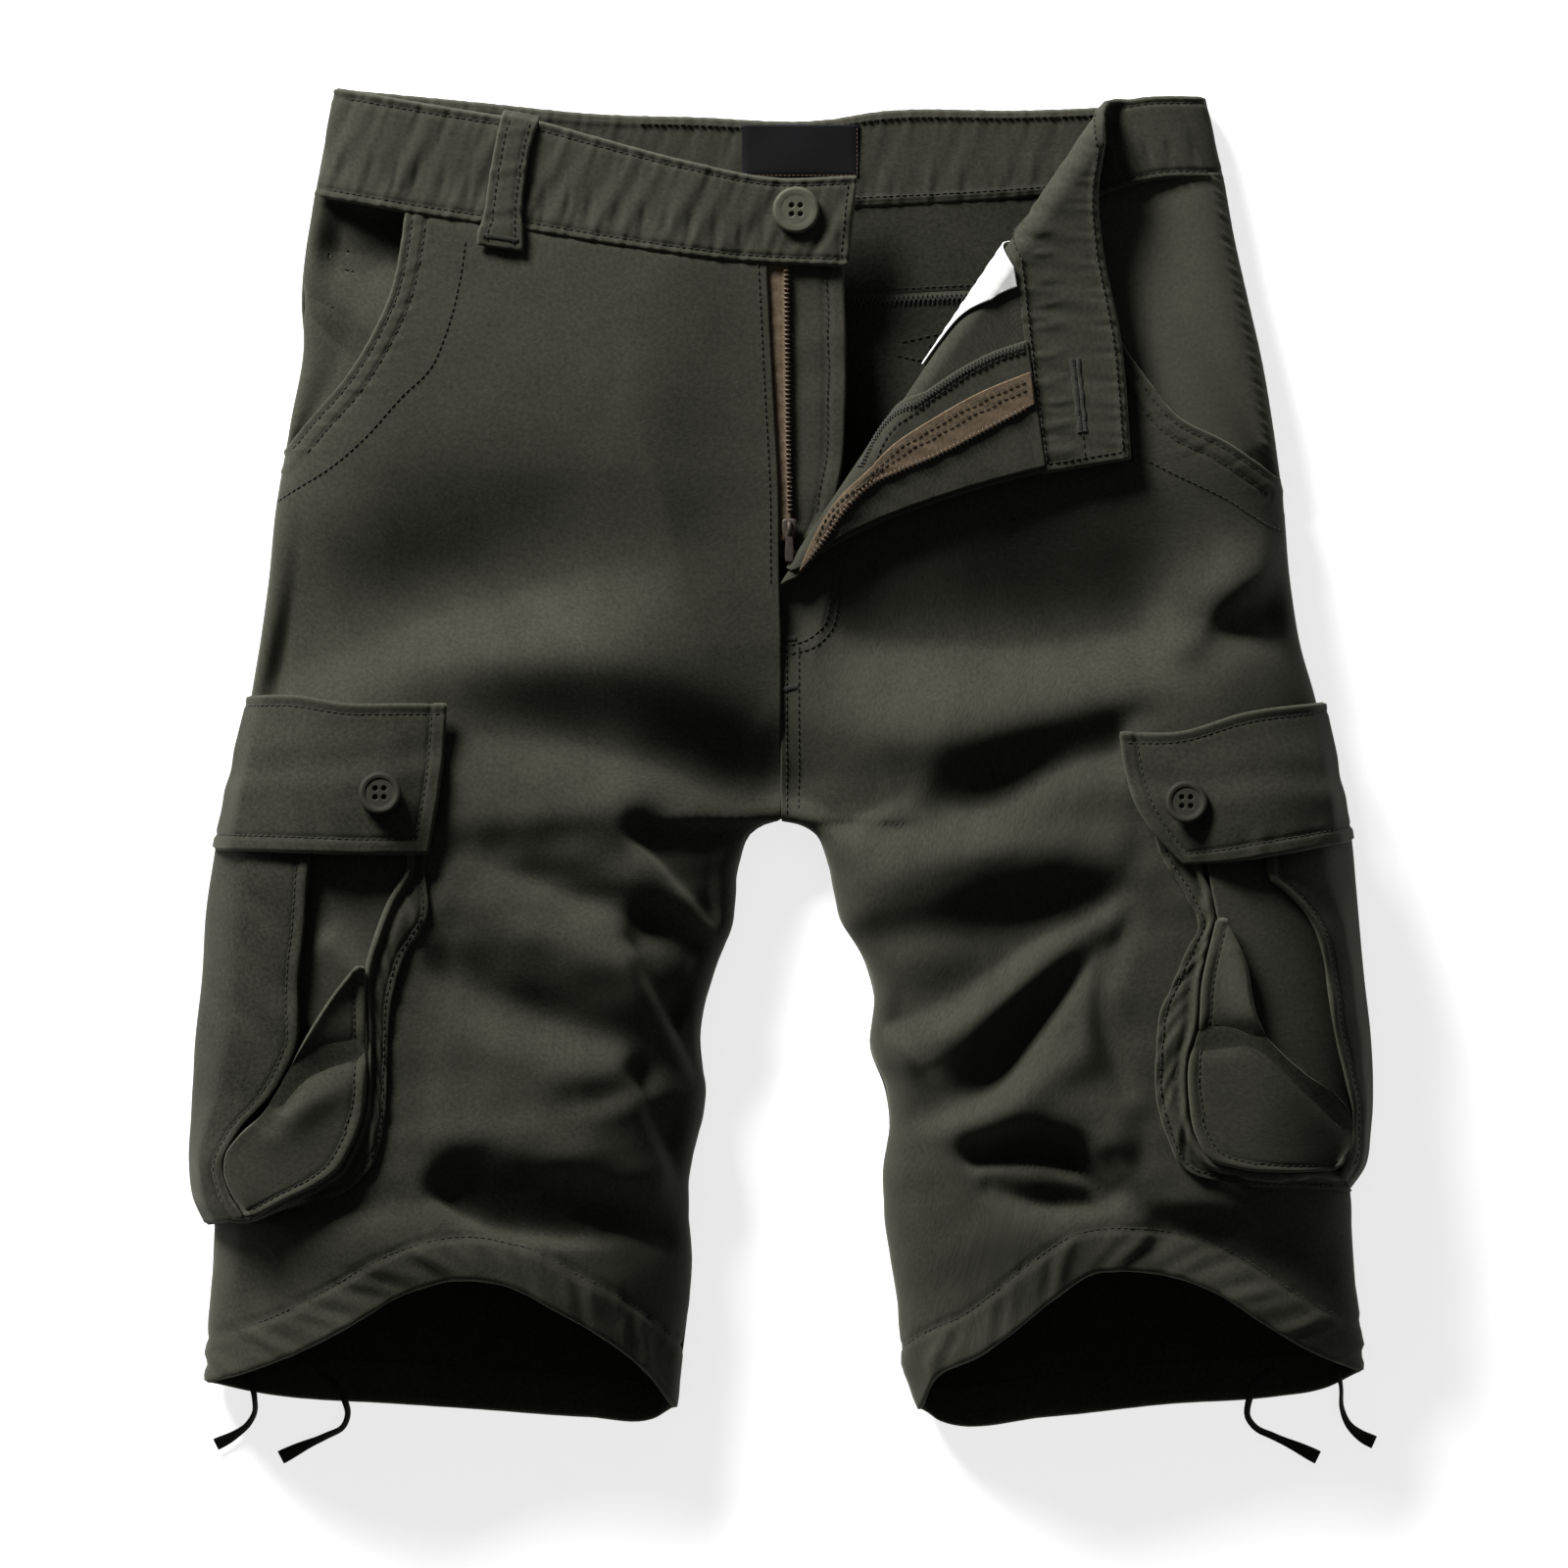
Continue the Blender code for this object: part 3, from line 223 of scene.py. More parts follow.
def woven(name, colour, period, depth, mottle=0.7, nap=1.6, roughness=0.9, sheen=0.05,
          turn=1.05):
    """A woven cloth on its own millimetres: slanting ribs crossed by fine threads, a
    fuzzy nap, broad uneven dye, and the piece's wear and shade value: lighter for wear on
    raised cloth, darker as painted shade in hollows and over some whole pieces, and
    lighter as painted light on one facing."""
    tint = (*(np.array(colour) / max(colour)), 1)
    material, tree, shader = new_material(name, Roughness=roughness, Specular_IOR_Level=0.1,
                                          Specular_Tint=tint, Sheen_Weight=sheen,
                                          Sheen_Roughness=0.5, Sheen_Tint=tint)
    place = add_node(tree, "ShaderNodeUVMap", uv_map="cloth").outputs[0]
    turned = add_node(tree, "ShaderNodeMapping", {"Vector": place, "Rotation": (0, 0, turn)})
    ribs = add_node(tree, "ShaderNodeTexWave",
                    {"Vector": turned.outputs[0], "Scale": WAVE_REPEAT / period,
                     "Distortion": 0.7, "Detail": 1.0, "Detail Scale": 2.0}).outputs["Fac"]
    threads = add_node(tree, "ShaderNodeTexWave",
                       {"Vector": place, "Scale": WAVE_REPEAT / (0.7 * period),
                        "Distortion": 0.4, "Detail": 1.0},
                       bands_direction="Y").outputs["Fac"]
    fuzz = add_node(tree, "ShaderNodeTexNoise",
                    {"Vector": place, "Scale": 0.42 / period, "Detail": 3.0,
                     "Roughness": 0.7}).outputs["Fac"]
    dye = add_node(tree, "ShaderNodeTexNoise",
                   {"Vector": place, "Scale": DYE_SCALE, "Detail": 5.0,
                    "Roughness": 0.7}).outputs["Fac"]
    # Wear and shade value: wear on raised cloth, painted shade in hollows, and painted light and
    # painted shade laid over whole pieces.
    wear_and_shade_fac = add_node(tree, "ShaderNodeAttribute", attribute_name="wear_and_shade").outputs["Fac"]
    weave = math(tree, "MULTIPLY_ADD", ribs, 0.65, math(tree, "MULTIPLY", threads, 0.35))
    shade = math(tree, "MULTIPLY_ADD", weave, 0.3, 0.85)
    shade = math(tree, "MULTIPLY_ADD", fuzz, nap, math(tree, "ADD", shade, -nap / 2))
    shade = math(tree, "MULTIPLY_ADD", dye, mottle, math(tree, "ADD", shade, -mottle / 2))
    shade = math(tree, "MAXIMUM", math(tree, "ADD", shade, wear_and_shade_fac), DARKEST_DYE)
    tree.links.new(shaded(tree, colour, shade), shader.inputs["Base Color"])
    relief = math(tree, "MULTIPLY_ADD", weave, 0.6, fuzz)
    bump = add_node(tree, "ShaderNodeBump", {"Height": relief, "Strength": 0.7,
                                             "Distance": depth * MM})
    tree.links.new(bump.outputs[0], shader.inputs["Normal"])
    rough = math(tree, "MULTIPLY_ADD", fuzz, 0.15, roughness - 0.1)
    tree.links.new(rough, shader.inputs["Roughness"])
    return material


cord_tape = woven("cord_tape", (0.012, 0.012, 0.011), 0.7, 0.12, turn=0.0)


def add_drawcord(name, route):
    """A flat tape along its route: a rounded strip whose width grows at the cut end, and
    which turns about the route by an angle that swells and dies away between hem and end."""
    side = "right" if "right" in name else "left"
    t = np.linspace(0, 1, TAPE_STEPS)
    plan = along(smooth(route), t)
    start, middle, end = CORD_TWIST[name]
    twist = start + (middle - start) * np.sin(np.pi * t**0.8) ** 2 + (end - start) * t**3
    width, thick = TAPE_CORD["width"], TAPE_CORD["thick"]
    wide = width + (TAPE_CORD["flare"] - width) * ease(t * 3 - 2)
    over = ease((plan[:, 1] - HEM_AT_CORD[side]) / HEM_RISE_RUN)
    z = thick / 2 + TAPE_CORD["lift"] + wide / 2 * np.abs(np.sin(twist))
    line = np.column_stack([plan, z + TAPE_CORD["over_hem"] * over])
    forward = unit(np.gradient(line, axis=0))
    flat = unit(np.cross(forward, (0, 0, 1.0)))
    up = np.cross(flat, forward)
    turn = np.linspace(0, 2 * np.pi, TAPE_AROUND, endpoint=False)
    out = np.sign(np.cos(turn)) * np.abs(np.cos(turn)) ** TAPE_ROUNDNESS * wide[:, None] / 2
    rise = np.sin(turn)[None] * thick / 2
    a = out * np.cos(twist)[:, None] - rise * np.sin(twist)[:, None]
    b = out * np.sin(twist)[:, None] + rise * np.cos(twist)[:, None]
    points = line[:, None] + a[..., None] * flat[:, None] + b[..., None] * up[:, None]
    run = run_of(line)
    uv = np.stack(np.broadcast_arrays(out, run[:, None]), -1)
    cord = add_piece(name + "_tape", points.reshape(-1, 3),
                     tube_faces(TAPE_STEPS, TAPE_AROUND), cord_tape, uv.reshape(-1, 2))
    settle(cord, "cord_tape", name)


for cord_name, cord_route in CORD_ROUTES.items():
    add_drawcord(cord_name, cord_route)


# ---- Back panels and yokes --------------------------------------------------------------
# The seat and back legs lie flat on the surface with their outer face down. What shows is
# the inside: the yoke seam and centre seam are overlocked, and the hem is a folded casing.
CLOTH = 1.6
SEAM_RISE = 0.75
RIM_WEAR = 0.6
TWILL_COLOUR = (0.0222, 0.0222, 0.0170)
SIDE = {
    "right": [(-207, 306), (-216, 258), (-222, 206), (-221, 190), (-227, 153), (-234, 112),
              (-238, 72), (-245, 28), (-252, -14), (-257, -70), (-261, -140), (-262, -214),
              (-266, -289)],
    "left": [(195, 302), (203, 266), (208, 238), (214, 211), (221, 180), (226, 150),
             (231, 112), (234, 76), (238, 52), (246, 22), (252, -14), (257, -60),
             (260, -110), (261, -160), (262, -214), (267, -284)],
}
INSEAM = {
    "right": [(-1.3, -31), (-8, -32.5), (-15, -37), (-20, -50), (-24, -80), (-33, -104),
              (-38, -128), (-36, -158), (-44, -200), (-42, -235), (-45, -266), (-50, -301)],
    "left": [(-0.7, -31), (8, -32.5), (15, -37), (21, -52), (26, -74), (38, -97),
             (42, -113), (40, -135), (47, -155), (49, -170), (46, -192), (48, -221),
             (53, -255), (58, -290), (63, -302)],
}
BACK_HEM = {
    "right": [(-266, -289), (-243, -294), (-180, -299), (-135, -302), (-90, -305),
              (-60, -306), (-50, -301)],
    "left": [(267, -284), (250, -292), (225, -296), (180, -299), (122, -305), (72, -307),
             (63, -302)],
}
BACK_BAND_FOOT = [(-216, 258), (-157, 252), (-90, 250), (0, 252), (90, 256), (149, 261),
                  (203, 266)]
BACK_SEAM_X = 3.0
YOKE_SEAM = [(-223, 216), (-135, 211), (-45, 209), (27, 211), (90, 214), (158, 215),
             (213, 214)]
SEAM_SLIT = 0.1
CROTCH_Y = -31
BACK_TURN = 11.0
BACK_TURN_RISE = 0.2
CASING = 19.0
# Rows of puckers: height, slant, period, seed, distance from the edge and spread. Ridges
# and grooves: distance, height and spread.
BACK_HEM_PUCKERS = [(0.45, 0.6, 13, 0.0, 9, 5)]
BACK_HEM_STITCH = (CASING - 1.5, -0.5, 0.9)
YOKE_FLAP = (-3, 0.7, 3.0)
CENTRE_FLAP = (2, 0.7, 3.0)
# Raised parts of the inside are lighter as wear, its hollows darker as painted shade, and shade
# darkens the whole inside as painted shade for the hollow of the shorts.
BACK_WEAR_AND_SHADE = {"relief": 0.12, "level": 0.6, "shade": 0.4}
BACK_ROWS, YOKE_ROWS, BACK_COLUMNS, BACK_WIDTH = 130, 18, 60, 215
YOKE_TOP_INSET = 3.5
UNDER_BAND = 2
LOFT_COLUMNS = ("y", "crown", "inner", "seam", "outer_reach", "inner_reach")
LOFT = [
    (306, 17, 17, 8, 34, 30),
    (260, 21, 19, 8, 38, 40),
    (200, 29, 22, 9, 46, 60),
    (130, 37, 25, 9, 54, 80),
    (50, 43, 25, 10, 58, 90),
    (-31, 46, 15, 10, 60, 66),
    (-60, 48, 9, 10, 60, 50),
    (-140, 50, 9, 10, 60, 48),
    (-230, 53, 8, 9, 92, 88),
    (-310, 54, 7, 8, 112, 104),
]

twill = woven("olive_twill", TWILL_COLOUR, 0.85, 0.10)
SIDE_CURVE = {side: smooth(points) for side, points in SIDE.items()}
INSEAM_CURVE = {side: smooth(points) for side, points in INSEAM.items()}


def loft(column, y):
    """A column of the loft table at the height y."""
    table = np.array(LOFT, float)[::-1]
    return np.interp(y, table[:, 0], table[:, LOFT_COLUMNS.index(column)])


def x_at(curve, y):
    """Where a curve that runs down the shorts crosses the height y."""
    return np.interp(-np.asarray(y, float), -curve[:, 1], curve[:, 0])


def cut_by_x(curve, start, end):
    """The stretch of a curve that runs across the shorts between two x values."""
    low, high = min(start, end), max(start, end)
    order = curve if curve[0, 0] < curve[-1, 0] else curve[::-1]
    inside = order[(order[:, 0] > low) & (order[:, 0] < high)]
    ends = [(x, np.interp(x, order[:, 0], order[:, 1])) for x in (low, high)]
    kept = np.vstack([ends[:1], inside, ends[1:]])
    return kept if start < end else kept[::-1]


def below(curve, y):
    """The stretch of a curve that runs down the shorts, from the height y on."""
    return np.vstack([[(x_at(curve, y), y)], curve[curve[:, 1] < y - 0.01]])


def quarter_round(distance, reach):
    """A quarter ellipse's height, 0 at the edge and 1 at the reach."""
    t = np.clip(distance / reach, 0, 1)
    return np.sqrt(1 - (1 - t) ** 2)


def shares(count, edges=0.0):
    """Even shares from 0 to 1, drawn towards both ends by edges (0 to 1)."""
    t = np.linspace(0, 1, count)
    return (1 - edges) * t + edges * (1 - np.cos(np.pi * t)) / 2


def coons(top, foot, first, last, down, across):
    """A grid filled in from its four edges, each a dense curve: the two ruled grids
    between facing edges added, less the one between the corners."""
    top, foot = along(top, across)[None], along(foot, across)[None]
    first, last = along(first, down)[:, None], along(last, down)[:, None]
    u, v = np.asarray(across)[None, :, None], np.asarray(down)[:, None, None]
    corners = ((1 - v) * ((1 - u) * top[:, :1] + u * top[:, -1:])
               + v * ((1 - u) * foot[:, :1] + u * foot[:, -1:]))
    return (1 - v) * top + v * foot + (1 - u) * first + u * last - corners


def between(first, last, down, across):
    """A grid ruled from one rail to the other, both taken by shares of their length."""
    a, b = along(smooth(first), down), along(smooth(last), down)
    u = np.asarray(across)[None, :, None]
    return a[:, None] * (1 - u) + b[:, None] * u


def beside(curve, x, y, samples=110):
    """How far along a curve a point's foot is, how far to the curve's left it lies, and
    how far it is from the curve: from the nearest of even samples and its tangent."""
    points = along(np.asarray(curve, float), np.linspace(0, 1, samples))
    run = run_of(points)
    tangent = unit(np.gradient(points, axis=0))
    px, py = np.ravel(x).astype(np.float32), np.ravel(y).astype(np.float32)
    gap = (px[:, None] - points[:, 0].astype(np.float32)) ** 2
    gap += (py[:, None] - points[:, 1].astype(np.float32)) ** 2
    k = gap.argmin(1)
    dx, dy = px - points[k, 0], py - points[k, 1]
    left = tangent[k, 0] * dy - tangent[k, 1] * dx
    ahead = tangent[k, 0] * dx + tangent[k, 1] * dy
    beyond = np.maximum(np.abs(ahead) - run[-1] / (samples - 1) / 2, 0)
    gap = np.hypot(left, beyond)
    return tuple(values.reshape(np.shape(x)) for values in (run[k] + ahead, left, gap))


def grid_normals(points, facing=1):
    """Unit normals of a grid of points: the cross product of its two directions, turned
    so that most of them point up (facing 1) or down (facing -1)."""
    normal = unit(np.cross(np.gradient(points, axis=1), np.gradient(points, axis=0)))
    return normal if (normal[..., 2].sum() > 0) == (facing > 0) else -normal


def bell(distance, spread):
    """A bell curve, 1 at no distance and falling off over the spread."""
    return np.exp(-0.5 * (np.asarray(distance) / spread) ** 2)


def uneven(run, period, seed=0.0):
    """A wave whose length and height keep changing: three sines of unrelated lengths."""
    phase = 2 * np.pi * np.asarray(run) / period
    return (0.55 * np.sin(phase + seed) + 0.3 * np.sin(0.618 * phase + 2.1 * seed + 1)
            + 0.25 * np.sin(1.47 * phase + 3.7 * seed + 2))


def slab(name, outer, inner, wear_and_shade=None, material=None):
    """Closes two matching grids into one piece of cloth with a half-round edge.

    The edge runs over a ring of points midway between the grids, pushed out from the
    grid's inside by under half the wall. uv is the run along each row and column.
    """
    rows, columns = outer.shape[:2]
    index = np.arange(rows * columns).reshape(rows, columns)
    faces = np.stack([index[:-1, :-1], index[1:, :-1], index[1:, 1:], index[:-1, 1:]], -1)
    faces = faces.reshape(-1, 4)
    rim = np.concatenate([index[0, :-1], index[:-1, -1], index[-1, :0:-1], index[:0:-1, 0]])
    i, j = rim // columns, rim % columns
    inward = np.clip(i, 1, rows - 2) * columns + np.clip(j, 1, columns - 2)
    flat_outer, flat_inner = outer.reshape(-1, 3), inner.reshape(-1, 3)
    wall = np.linalg.norm(flat_outer[rim] - flat_inner[rim], axis=1, keepdims=True)
    out = unit((flat_outer + flat_inner)[rim] - (flat_outer + flat_inner)[inward])
    ring = (flat_outer[rim] + flat_inner[rim]) / 2 + 0.4 * wall * out
    count = rows * columns
    middle = 2 * count + np.arange(len(rim))
    after, middle_after = np.roll(rim, -1), np.roll(middle, -1)
    edge = np.concatenate([np.stack([rim, after, middle_after, middle], -1),
                           np.stack([middle, middle_after, after + count, rim + count], -1)])
    all_faces = np.concatenate([faces, faces[:, ::-1] + count, edge])
    across = np.cumsum(np.linalg.norm(np.diff(outer, axis=1, prepend=outer[:, :1]), axis=2), 1)
    down = np.cumsum(np.linalg.norm(np.diff(outer, axis=0, prepend=outer[:1]), axis=2), 0)
    across = across - across[:, columns // 2:columns // 2 + 1]
    uv = np.stack([across, down], -1).reshape(-1, 2)
    uv = np.concatenate([uv, uv, uv[rim]])
    if wear_and_shade is not None:
        wear_and_shade = np.array(np.broadcast_to(wear_and_shade, (rows, columns))).ravel()
        wear_and_shade[rim] += RIM_WEAR / 2
        wear_and_shade = np.concatenate([wear_and_shade, wear_and_shade, wear_and_shade[rim] + RIM_WEAR / 2])
    points = np.concatenate([flat_outer, flat_inner, ring])
    return add_piece(name, points, all_faces.tolist(), material or twill, uv, wear_and_shade)


def from_line(grid, line):
    """How far each point of a grid is from the point of a line in its row or column."""
    return np.linalg.norm(grid - line, axis=2)


def raised(x, y, z):
    """Plan values and a height as points."""
    return np.stack([x, y, z], -1)


def cover(node, base, relief, wall, wear_and_shade, *under, name=None, slot="olive_twill",
          material=None, lay_base=False):
    """A node's cloth: its base with the relief along its normals, closed over a wall
    under the base. The nodes under it are not used."""
    normal = grid_normals(base)
    outer = base + normal * relief[..., None]
    piece = slab(name or node + "_shell", outer, base - normal * wall, wear_and_shade, material)
    settle(piece, slot, node)
    return outer


def back_height(x, y, side):
    """Height of the back's lower face: flat, turning up at the side seam and inseam."""
    from_side = np.abs(x - x_at(SIDE_CURVE[side], y))
    rise = (loft("seam", y) + BACK_TURN_RISE) * (1 - quarter_round(from_side, BACK_TURN))
    from_inseam = beside(INSEAM_CURVE[side], x, y)[2]
    top = loft("inner", np.minimum(y, CROTCH_Y)) + BACK_TURN_RISE
    return np.maximum(rise, top * (1 - quarter_round(from_inseam, BACK_TURN)))


def edge_shares(count, width, reach):
    """Shares across a width with a few steps round a turned-up edge at each end."""
    round_steps = reach * (1 - np.cos(np.linspace(0, np.pi / 2, 8))) / width
    flat = np.linspace(round_steps[-1], 1 - round_steps[-1], count)
    return np.concatenate([round_steps[:-1], flat, 1 - round_steps[-2::-1]])


def ridge(distance, at, height, spread):
    """A ridge, or a groove where its height is below 0, at a distance from a line."""
    return height * bell(distance - at, spread)


def puckers(rows, run, gap):
    """The sum of rows of puckers beside a line: uneven waves along it that slant with the
    distance from it and swell at one distance."""
    return sum(height * uneven(run + slant * gap, period, seed) * bell(gap - at, spread)
               for height, slant, period, seed, at, spread in rows)


def back_relief(x, y, side):
    """Rise of the inside over a plain wall: slow waves, the hem casing with its puckers,
    and the overlocked allowances on either side of the centre and yoke seams."""
    run, _, gap = beside(smooth(BACK_HEM[side]), x, y)
    wave = 0.5 * np.sin(x / 23 + y / 31) * np.sin(y / 19 - x / 57) + 0.4
    casing = ease((CASING - gap) / 1.5)
    yoke_y = np.interp(x, *smooth(YOKE_SEAM).T)
    allowance = ridge(y - yoke_y, *YOKE_FLAP) + ridge(x - BACK_SEAM_X, *CENTRE_FLAP)
    return (wave + casing + puckers(BACK_HEM_PUCKERS, run, gap)
            + ridge(gap, *BACK_HEM_STITCH) + allowance)


def add_back(name, grid, side):
    """A back piece: the flat lower face and, a wall and its relief above, the inside."""
    x, y = grid[..., 0], grid[..., 1]
    lower = raised(x, y, back_height(x, y, side))
    relief = back_relief(x, y, side)
    inside = lower + grid_normals(lower) * (CLOTH + relief)[..., None]
    # Lighter where raised as wear, darker in hollows and all over as painted shade.
    wear_and_shade = BACK_WEAR_AND_SHADE["relief"] * (relief - BACK_WEAR_AND_SHADE["level"]) - BACK_WEAR_AND_SHADE["shade"]
    piece = slab(name + "_shell", lower, inside, wear_and_shade)
    settle(piece, "olive_twill", name)


across = edge_shares(BACK_COLUMNS, BACK_WIDTH, BACK_TURN)
for side, sign in (("right", -1), ("left", 1)):
    curve = SIDE_CURVE[side]
    centre_x = sign * SEAM_SLIT + BACK_SEAM_X
    yoke_y = YOKE_SEAM[0 if side == "right" else -1][1]
    top = cut_by_x(smooth(YOKE_SEAM), float(x_at(curve, yoke_y)), centre_x)
    inner_edge = np.vstack([[(centre_x, top[-1, 1])], INSEAM_CURVE[side]])
    add_back("back_" + side, coons(top, smooth(BACK_HEM[side]), below(curve, yoke_y),
                                   inner_edge, shares(BACK_ROWS), across), side)
    waist_x = curve[14, 0] - sign * YOKE_TOP_INSET
    waist = cut_by_x(smooth(BACK_BAND_FOOT), waist_x, centre_x) + (0, UNDER_BAND)
    outer_edge = below(curve, waist[0, 1])
    outer_edge = np.vstack([outer_edge[outer_edge[:, 1] > top[0, 1] + 0.01], top[:1]])
    outer_edge[0] = waist[0]
    add_back("yoke_" + side, coons(waist, top, outer_edge, np.array([waist[-1], top[-1]]),
                                   shares(YOKE_ROWS), across), side)


# ---- Front panels -----------------------------------------------------------------------
# Two legs of twill pulled into folds from the crotch and round the thigh. The left one's
# top corner is turned back over itself with its inside up.
CENTRE_EDGE = {
    "right": [(-8, 226), (-5, 166), (-2.6, 121), (-2.2, 78), (-1.4, 50), (-1.3, 20),
              (-1.3, -31)],
    "left": [(3, 207), (7, 178), (9, 155), (10, 131), (9, 111), (6, 95), (1.2, 84),
             (-0.7, 76), (-0.7, 66), (-0.7, 20), (-0.7, -31)],
}
FRONT_HEM = {
    "right": [(-266, -289), (-249, -284), (-225, -275), (-198, -261), (-171, -246),
              (-148, -240), (-126, -243), (-103, -255), (-81, -268), (-62, -284),
              (-50, -301)],
    "left": [(267, -284), (243, -274), (221, -261), (198, -246), (176, -238), (158, -236),
             (142, -237), (126, -247), (108, -262), (90, -275), (70, -286), (63, -302)],
}
BAND_FOOT = {
    "right": [(-216, 258), (-173, 250), (-121, 242), (-72, 234), (-27, 228), (29, 225)],
    "left": [(203, 266), (171, 265), (146, 258), (120, 243), (103, 234), (83, 228),
             (39, 216), (3, 207)],
}
MOUTH = {
    "right": [(-173, 250), (-175, 234), (-180, 211), (-188, 193), (-202, 171),
              (-218, 153), (-231, 138)],
    "left": [(120.5, 243.4), (134, 228), (147, 207), (156, 187), (167, 171), (180, 155),
             (203, 143), (229, 126)],
}
HEM_PUCKERS = [(1.0, 0.9, 14, 0.7, 9, 6.5), (0.35, 0.3, 6.3, 1.1, 17, 5)]
HEM_STITCH = (CASING, -1.1, 1.0)
MOUTH_ROWS = (2.7, 9.0)
MOUTH_PUCKERS = [(0.5, 0.8, 7.5, 1.9, 6.5, 5.5)]
CRUMPLED = {"top": 30, "fade": 60}
BAND_TUCK = {"depth": 1.6, "above": 1.2, "fade": 2}
# Raised cloth is lighter as wear; stitch grooves, hollows and the tuck under the band are darker
# as painted shade.
FRONT_WEAR_AND_SHADE = {"relief": 0.10, "level": 0.3}
FRONT_COLUMNS = shares(118, 0.6)
RIGHT_ROWS, LEFT_ROWS, CORNER_STEPS = 230, 200, 22
CENTRE_ROUND_TOP = -8
CENTRE_ROUND_FADE = 46
FOLD_EDGE_FADE = 14
POCKET_ZONE = {"x": 152, "x_fade": 16, "top": 22, "foot": -216, "y_fade": 14}

# Creases: a path walked from one end to the other, the height of a ridge or the depth of a
# trough, how far it spreads to the walker's left and right, and how much of the height is
# there at its start and at its end.
CREASE_COLUMNS = ("path", "height", "left", "right", "start", "end")
CREASES = {
    "right": [
        ([(-240, 34), (-200, 52), (-160, 66), (-108, 80), (-50, 96)], -19, 34, 18, 0.8, 0.2),
        ([(-196, 34), (-157, 46), (-108, 47), (-45, 36), (-12, 18)], 6, 15, 12, 0.5, 0.5),
        ([(-150, 12), (-108, 8), (-67, -2), (-15, -16)], -9, 14, 10, 0.4, 0.7),
        ([(-146, -27), (-108, -27), (-67, -28), (-18, -26)], 5, 10, 8, 0.5, 0.5),
        ([(-142, -46), (-108, -60), (-67, -75), (-27, -93)], -7, 9, 5, 0.3, 0.7),
        ([(-63, -40), (-45, -61), (-24, -84)], -10, 13, 2.5, 0.9, 0.8),
        ([(-61, -48), (-44, -68), (-28, -92)], 3, 3, 6, 0.8, 0.5),
        ([(-150, -66), (-110, -84), (-67, -98), (-42, -112)], 5, 8, 9, 0.6, 0.3),
        ([(-66, -90), (-62, -101), (-50, -122), (-38, -146)], -12, 14, 2.5, 0.9, 0.7),
        ([(-68, -97), (-60, -116), (-46, -138)], 3, 3, 6, 0.8, 0.5),
        ([(-166, -92), (-130, -114), (-90, -130), (-49, -138)], -8, 10, 9, 0.7, 0.5),
        ([(-158, -116), (-112, -137), (-67, -142), (-46, -134)], 4, 8, 10, 0.6, 0.5),
        ([(-92, -158), (-76, -155), (-66, -150)], -4, 8, 5, 0.5, 1.0),
        ([(-66, -150), (-55, -176), (-47, -194)], -9, 12, 2.5, 0.9, 0.7),
        ([(-160, -146), (-110, -156), (-70, -160)], 4, 14, 14, 0.5, 0.5),
        ([(-182, -182), (-140, -176), (-100, -184), (-60, -198)], 7, 12, 9, 0.7, 0.7),
        ([(-186, -197), (-157, -203), (-144, -211), (-108, -219), (-86, -220)], -11, 12, 3,
         0.8, 0.4),
        ([(-98, -204), (-75, -214), (-54, -222)], -7, 10, 4, 0.5, 0.6),
        ([(-262, -245), (-250, -224), (-236, -216), (-211, -207)], 5, 7, 11, 0.6, 0.6),
        ([(-226, -236), (-190, -226), (-150, -225)], 3, 10, 10, 0.4, 0.5),
    ],
    "left": [
        ([(18, 62), (60, 53), (110, 52), (158, 58)], -24, 34, 15, 0.3, 0.9),
        ([(186, 53), (198, 66), (222, 86)], 9, 11, 7, 1.0, 0.6),
        ([(192, 58), (212, 62), (232, 66)], -8, 8, 10, 0.8, 0.9),
        ([(18, 14), (70, 8), (110, 14), (152, 25)], 5, 12, 9, 0.4, 0.8),
        ([(50, -30), (90, -22), (122, -4), (152, 4)], -9, 13, 9, 0.5, 0.9),
        ([(8, -26), (28, -30), (50, -20)], -8, 11, 4, 0.7, 0.4),
        ([(45, -54), (100, -46), (150, -48)], 5, 10, 11, 0.4, 0.8),
        ([(34, -86), (80, -80), (130, -66), (152, -64)], -6, 10, 8, 0.5, 0.6),
        ([(50, -122), (72, -114), (96, -98), (118, -82), (140, -70)], -9, 13, 5, 0.7, 0.5),
        ([(60, -140), (90, -122), (120, -100), (142, -82)], 6, 6, 8, 0.5, 0.5),
        ([(72, -164), (94, -152), (112, -128), (130, -104), (142, -90)], -11, 10, 5, 0.5, 0.7),
        ([(84, -170), (110, -156), (134, -138), (146, -112)], 5, 6, 8, 0.5, 0.5),
        ([(162, -74), (148, -100), (147, -131), (158, -153)], -5, 5, 4, 0.7, 0.7),
        ([(84, -172), (108, -168), (132, -170), (156, -178)], 8, 12, 6, 0.6, 0.7),
        ([(92, -186), (112, -184), (132, -188), (148, -200)], -12, 8, 2.5, 0.7, 0.5),
        ([(96, -200), (120, -206), (146, -206)], -6, 5, 3, 0.5, 0.5),
        ([(146, -184), (158, -196), (164, -222)], 5, 4, 8, 0.9, 0.5),
        ([(99, -216), (126, -222), (158, -218)], 4, 7, 12, 0.5, 0.5),
        ([(168, -208), (200, -224), (240, -240)], -7, 10, 12, 0.6, 0.6),
        ([(48, -124), (58, -130), (66, -142)], -5, 6, 3, 0.9, 0.5),
    ],
}
INNER_CURVE = {side: np.vstack([smooth(CENTRE_EDGE[side])[:-1], INSEAM_CURVE[side]])
               for side in INSEAM}


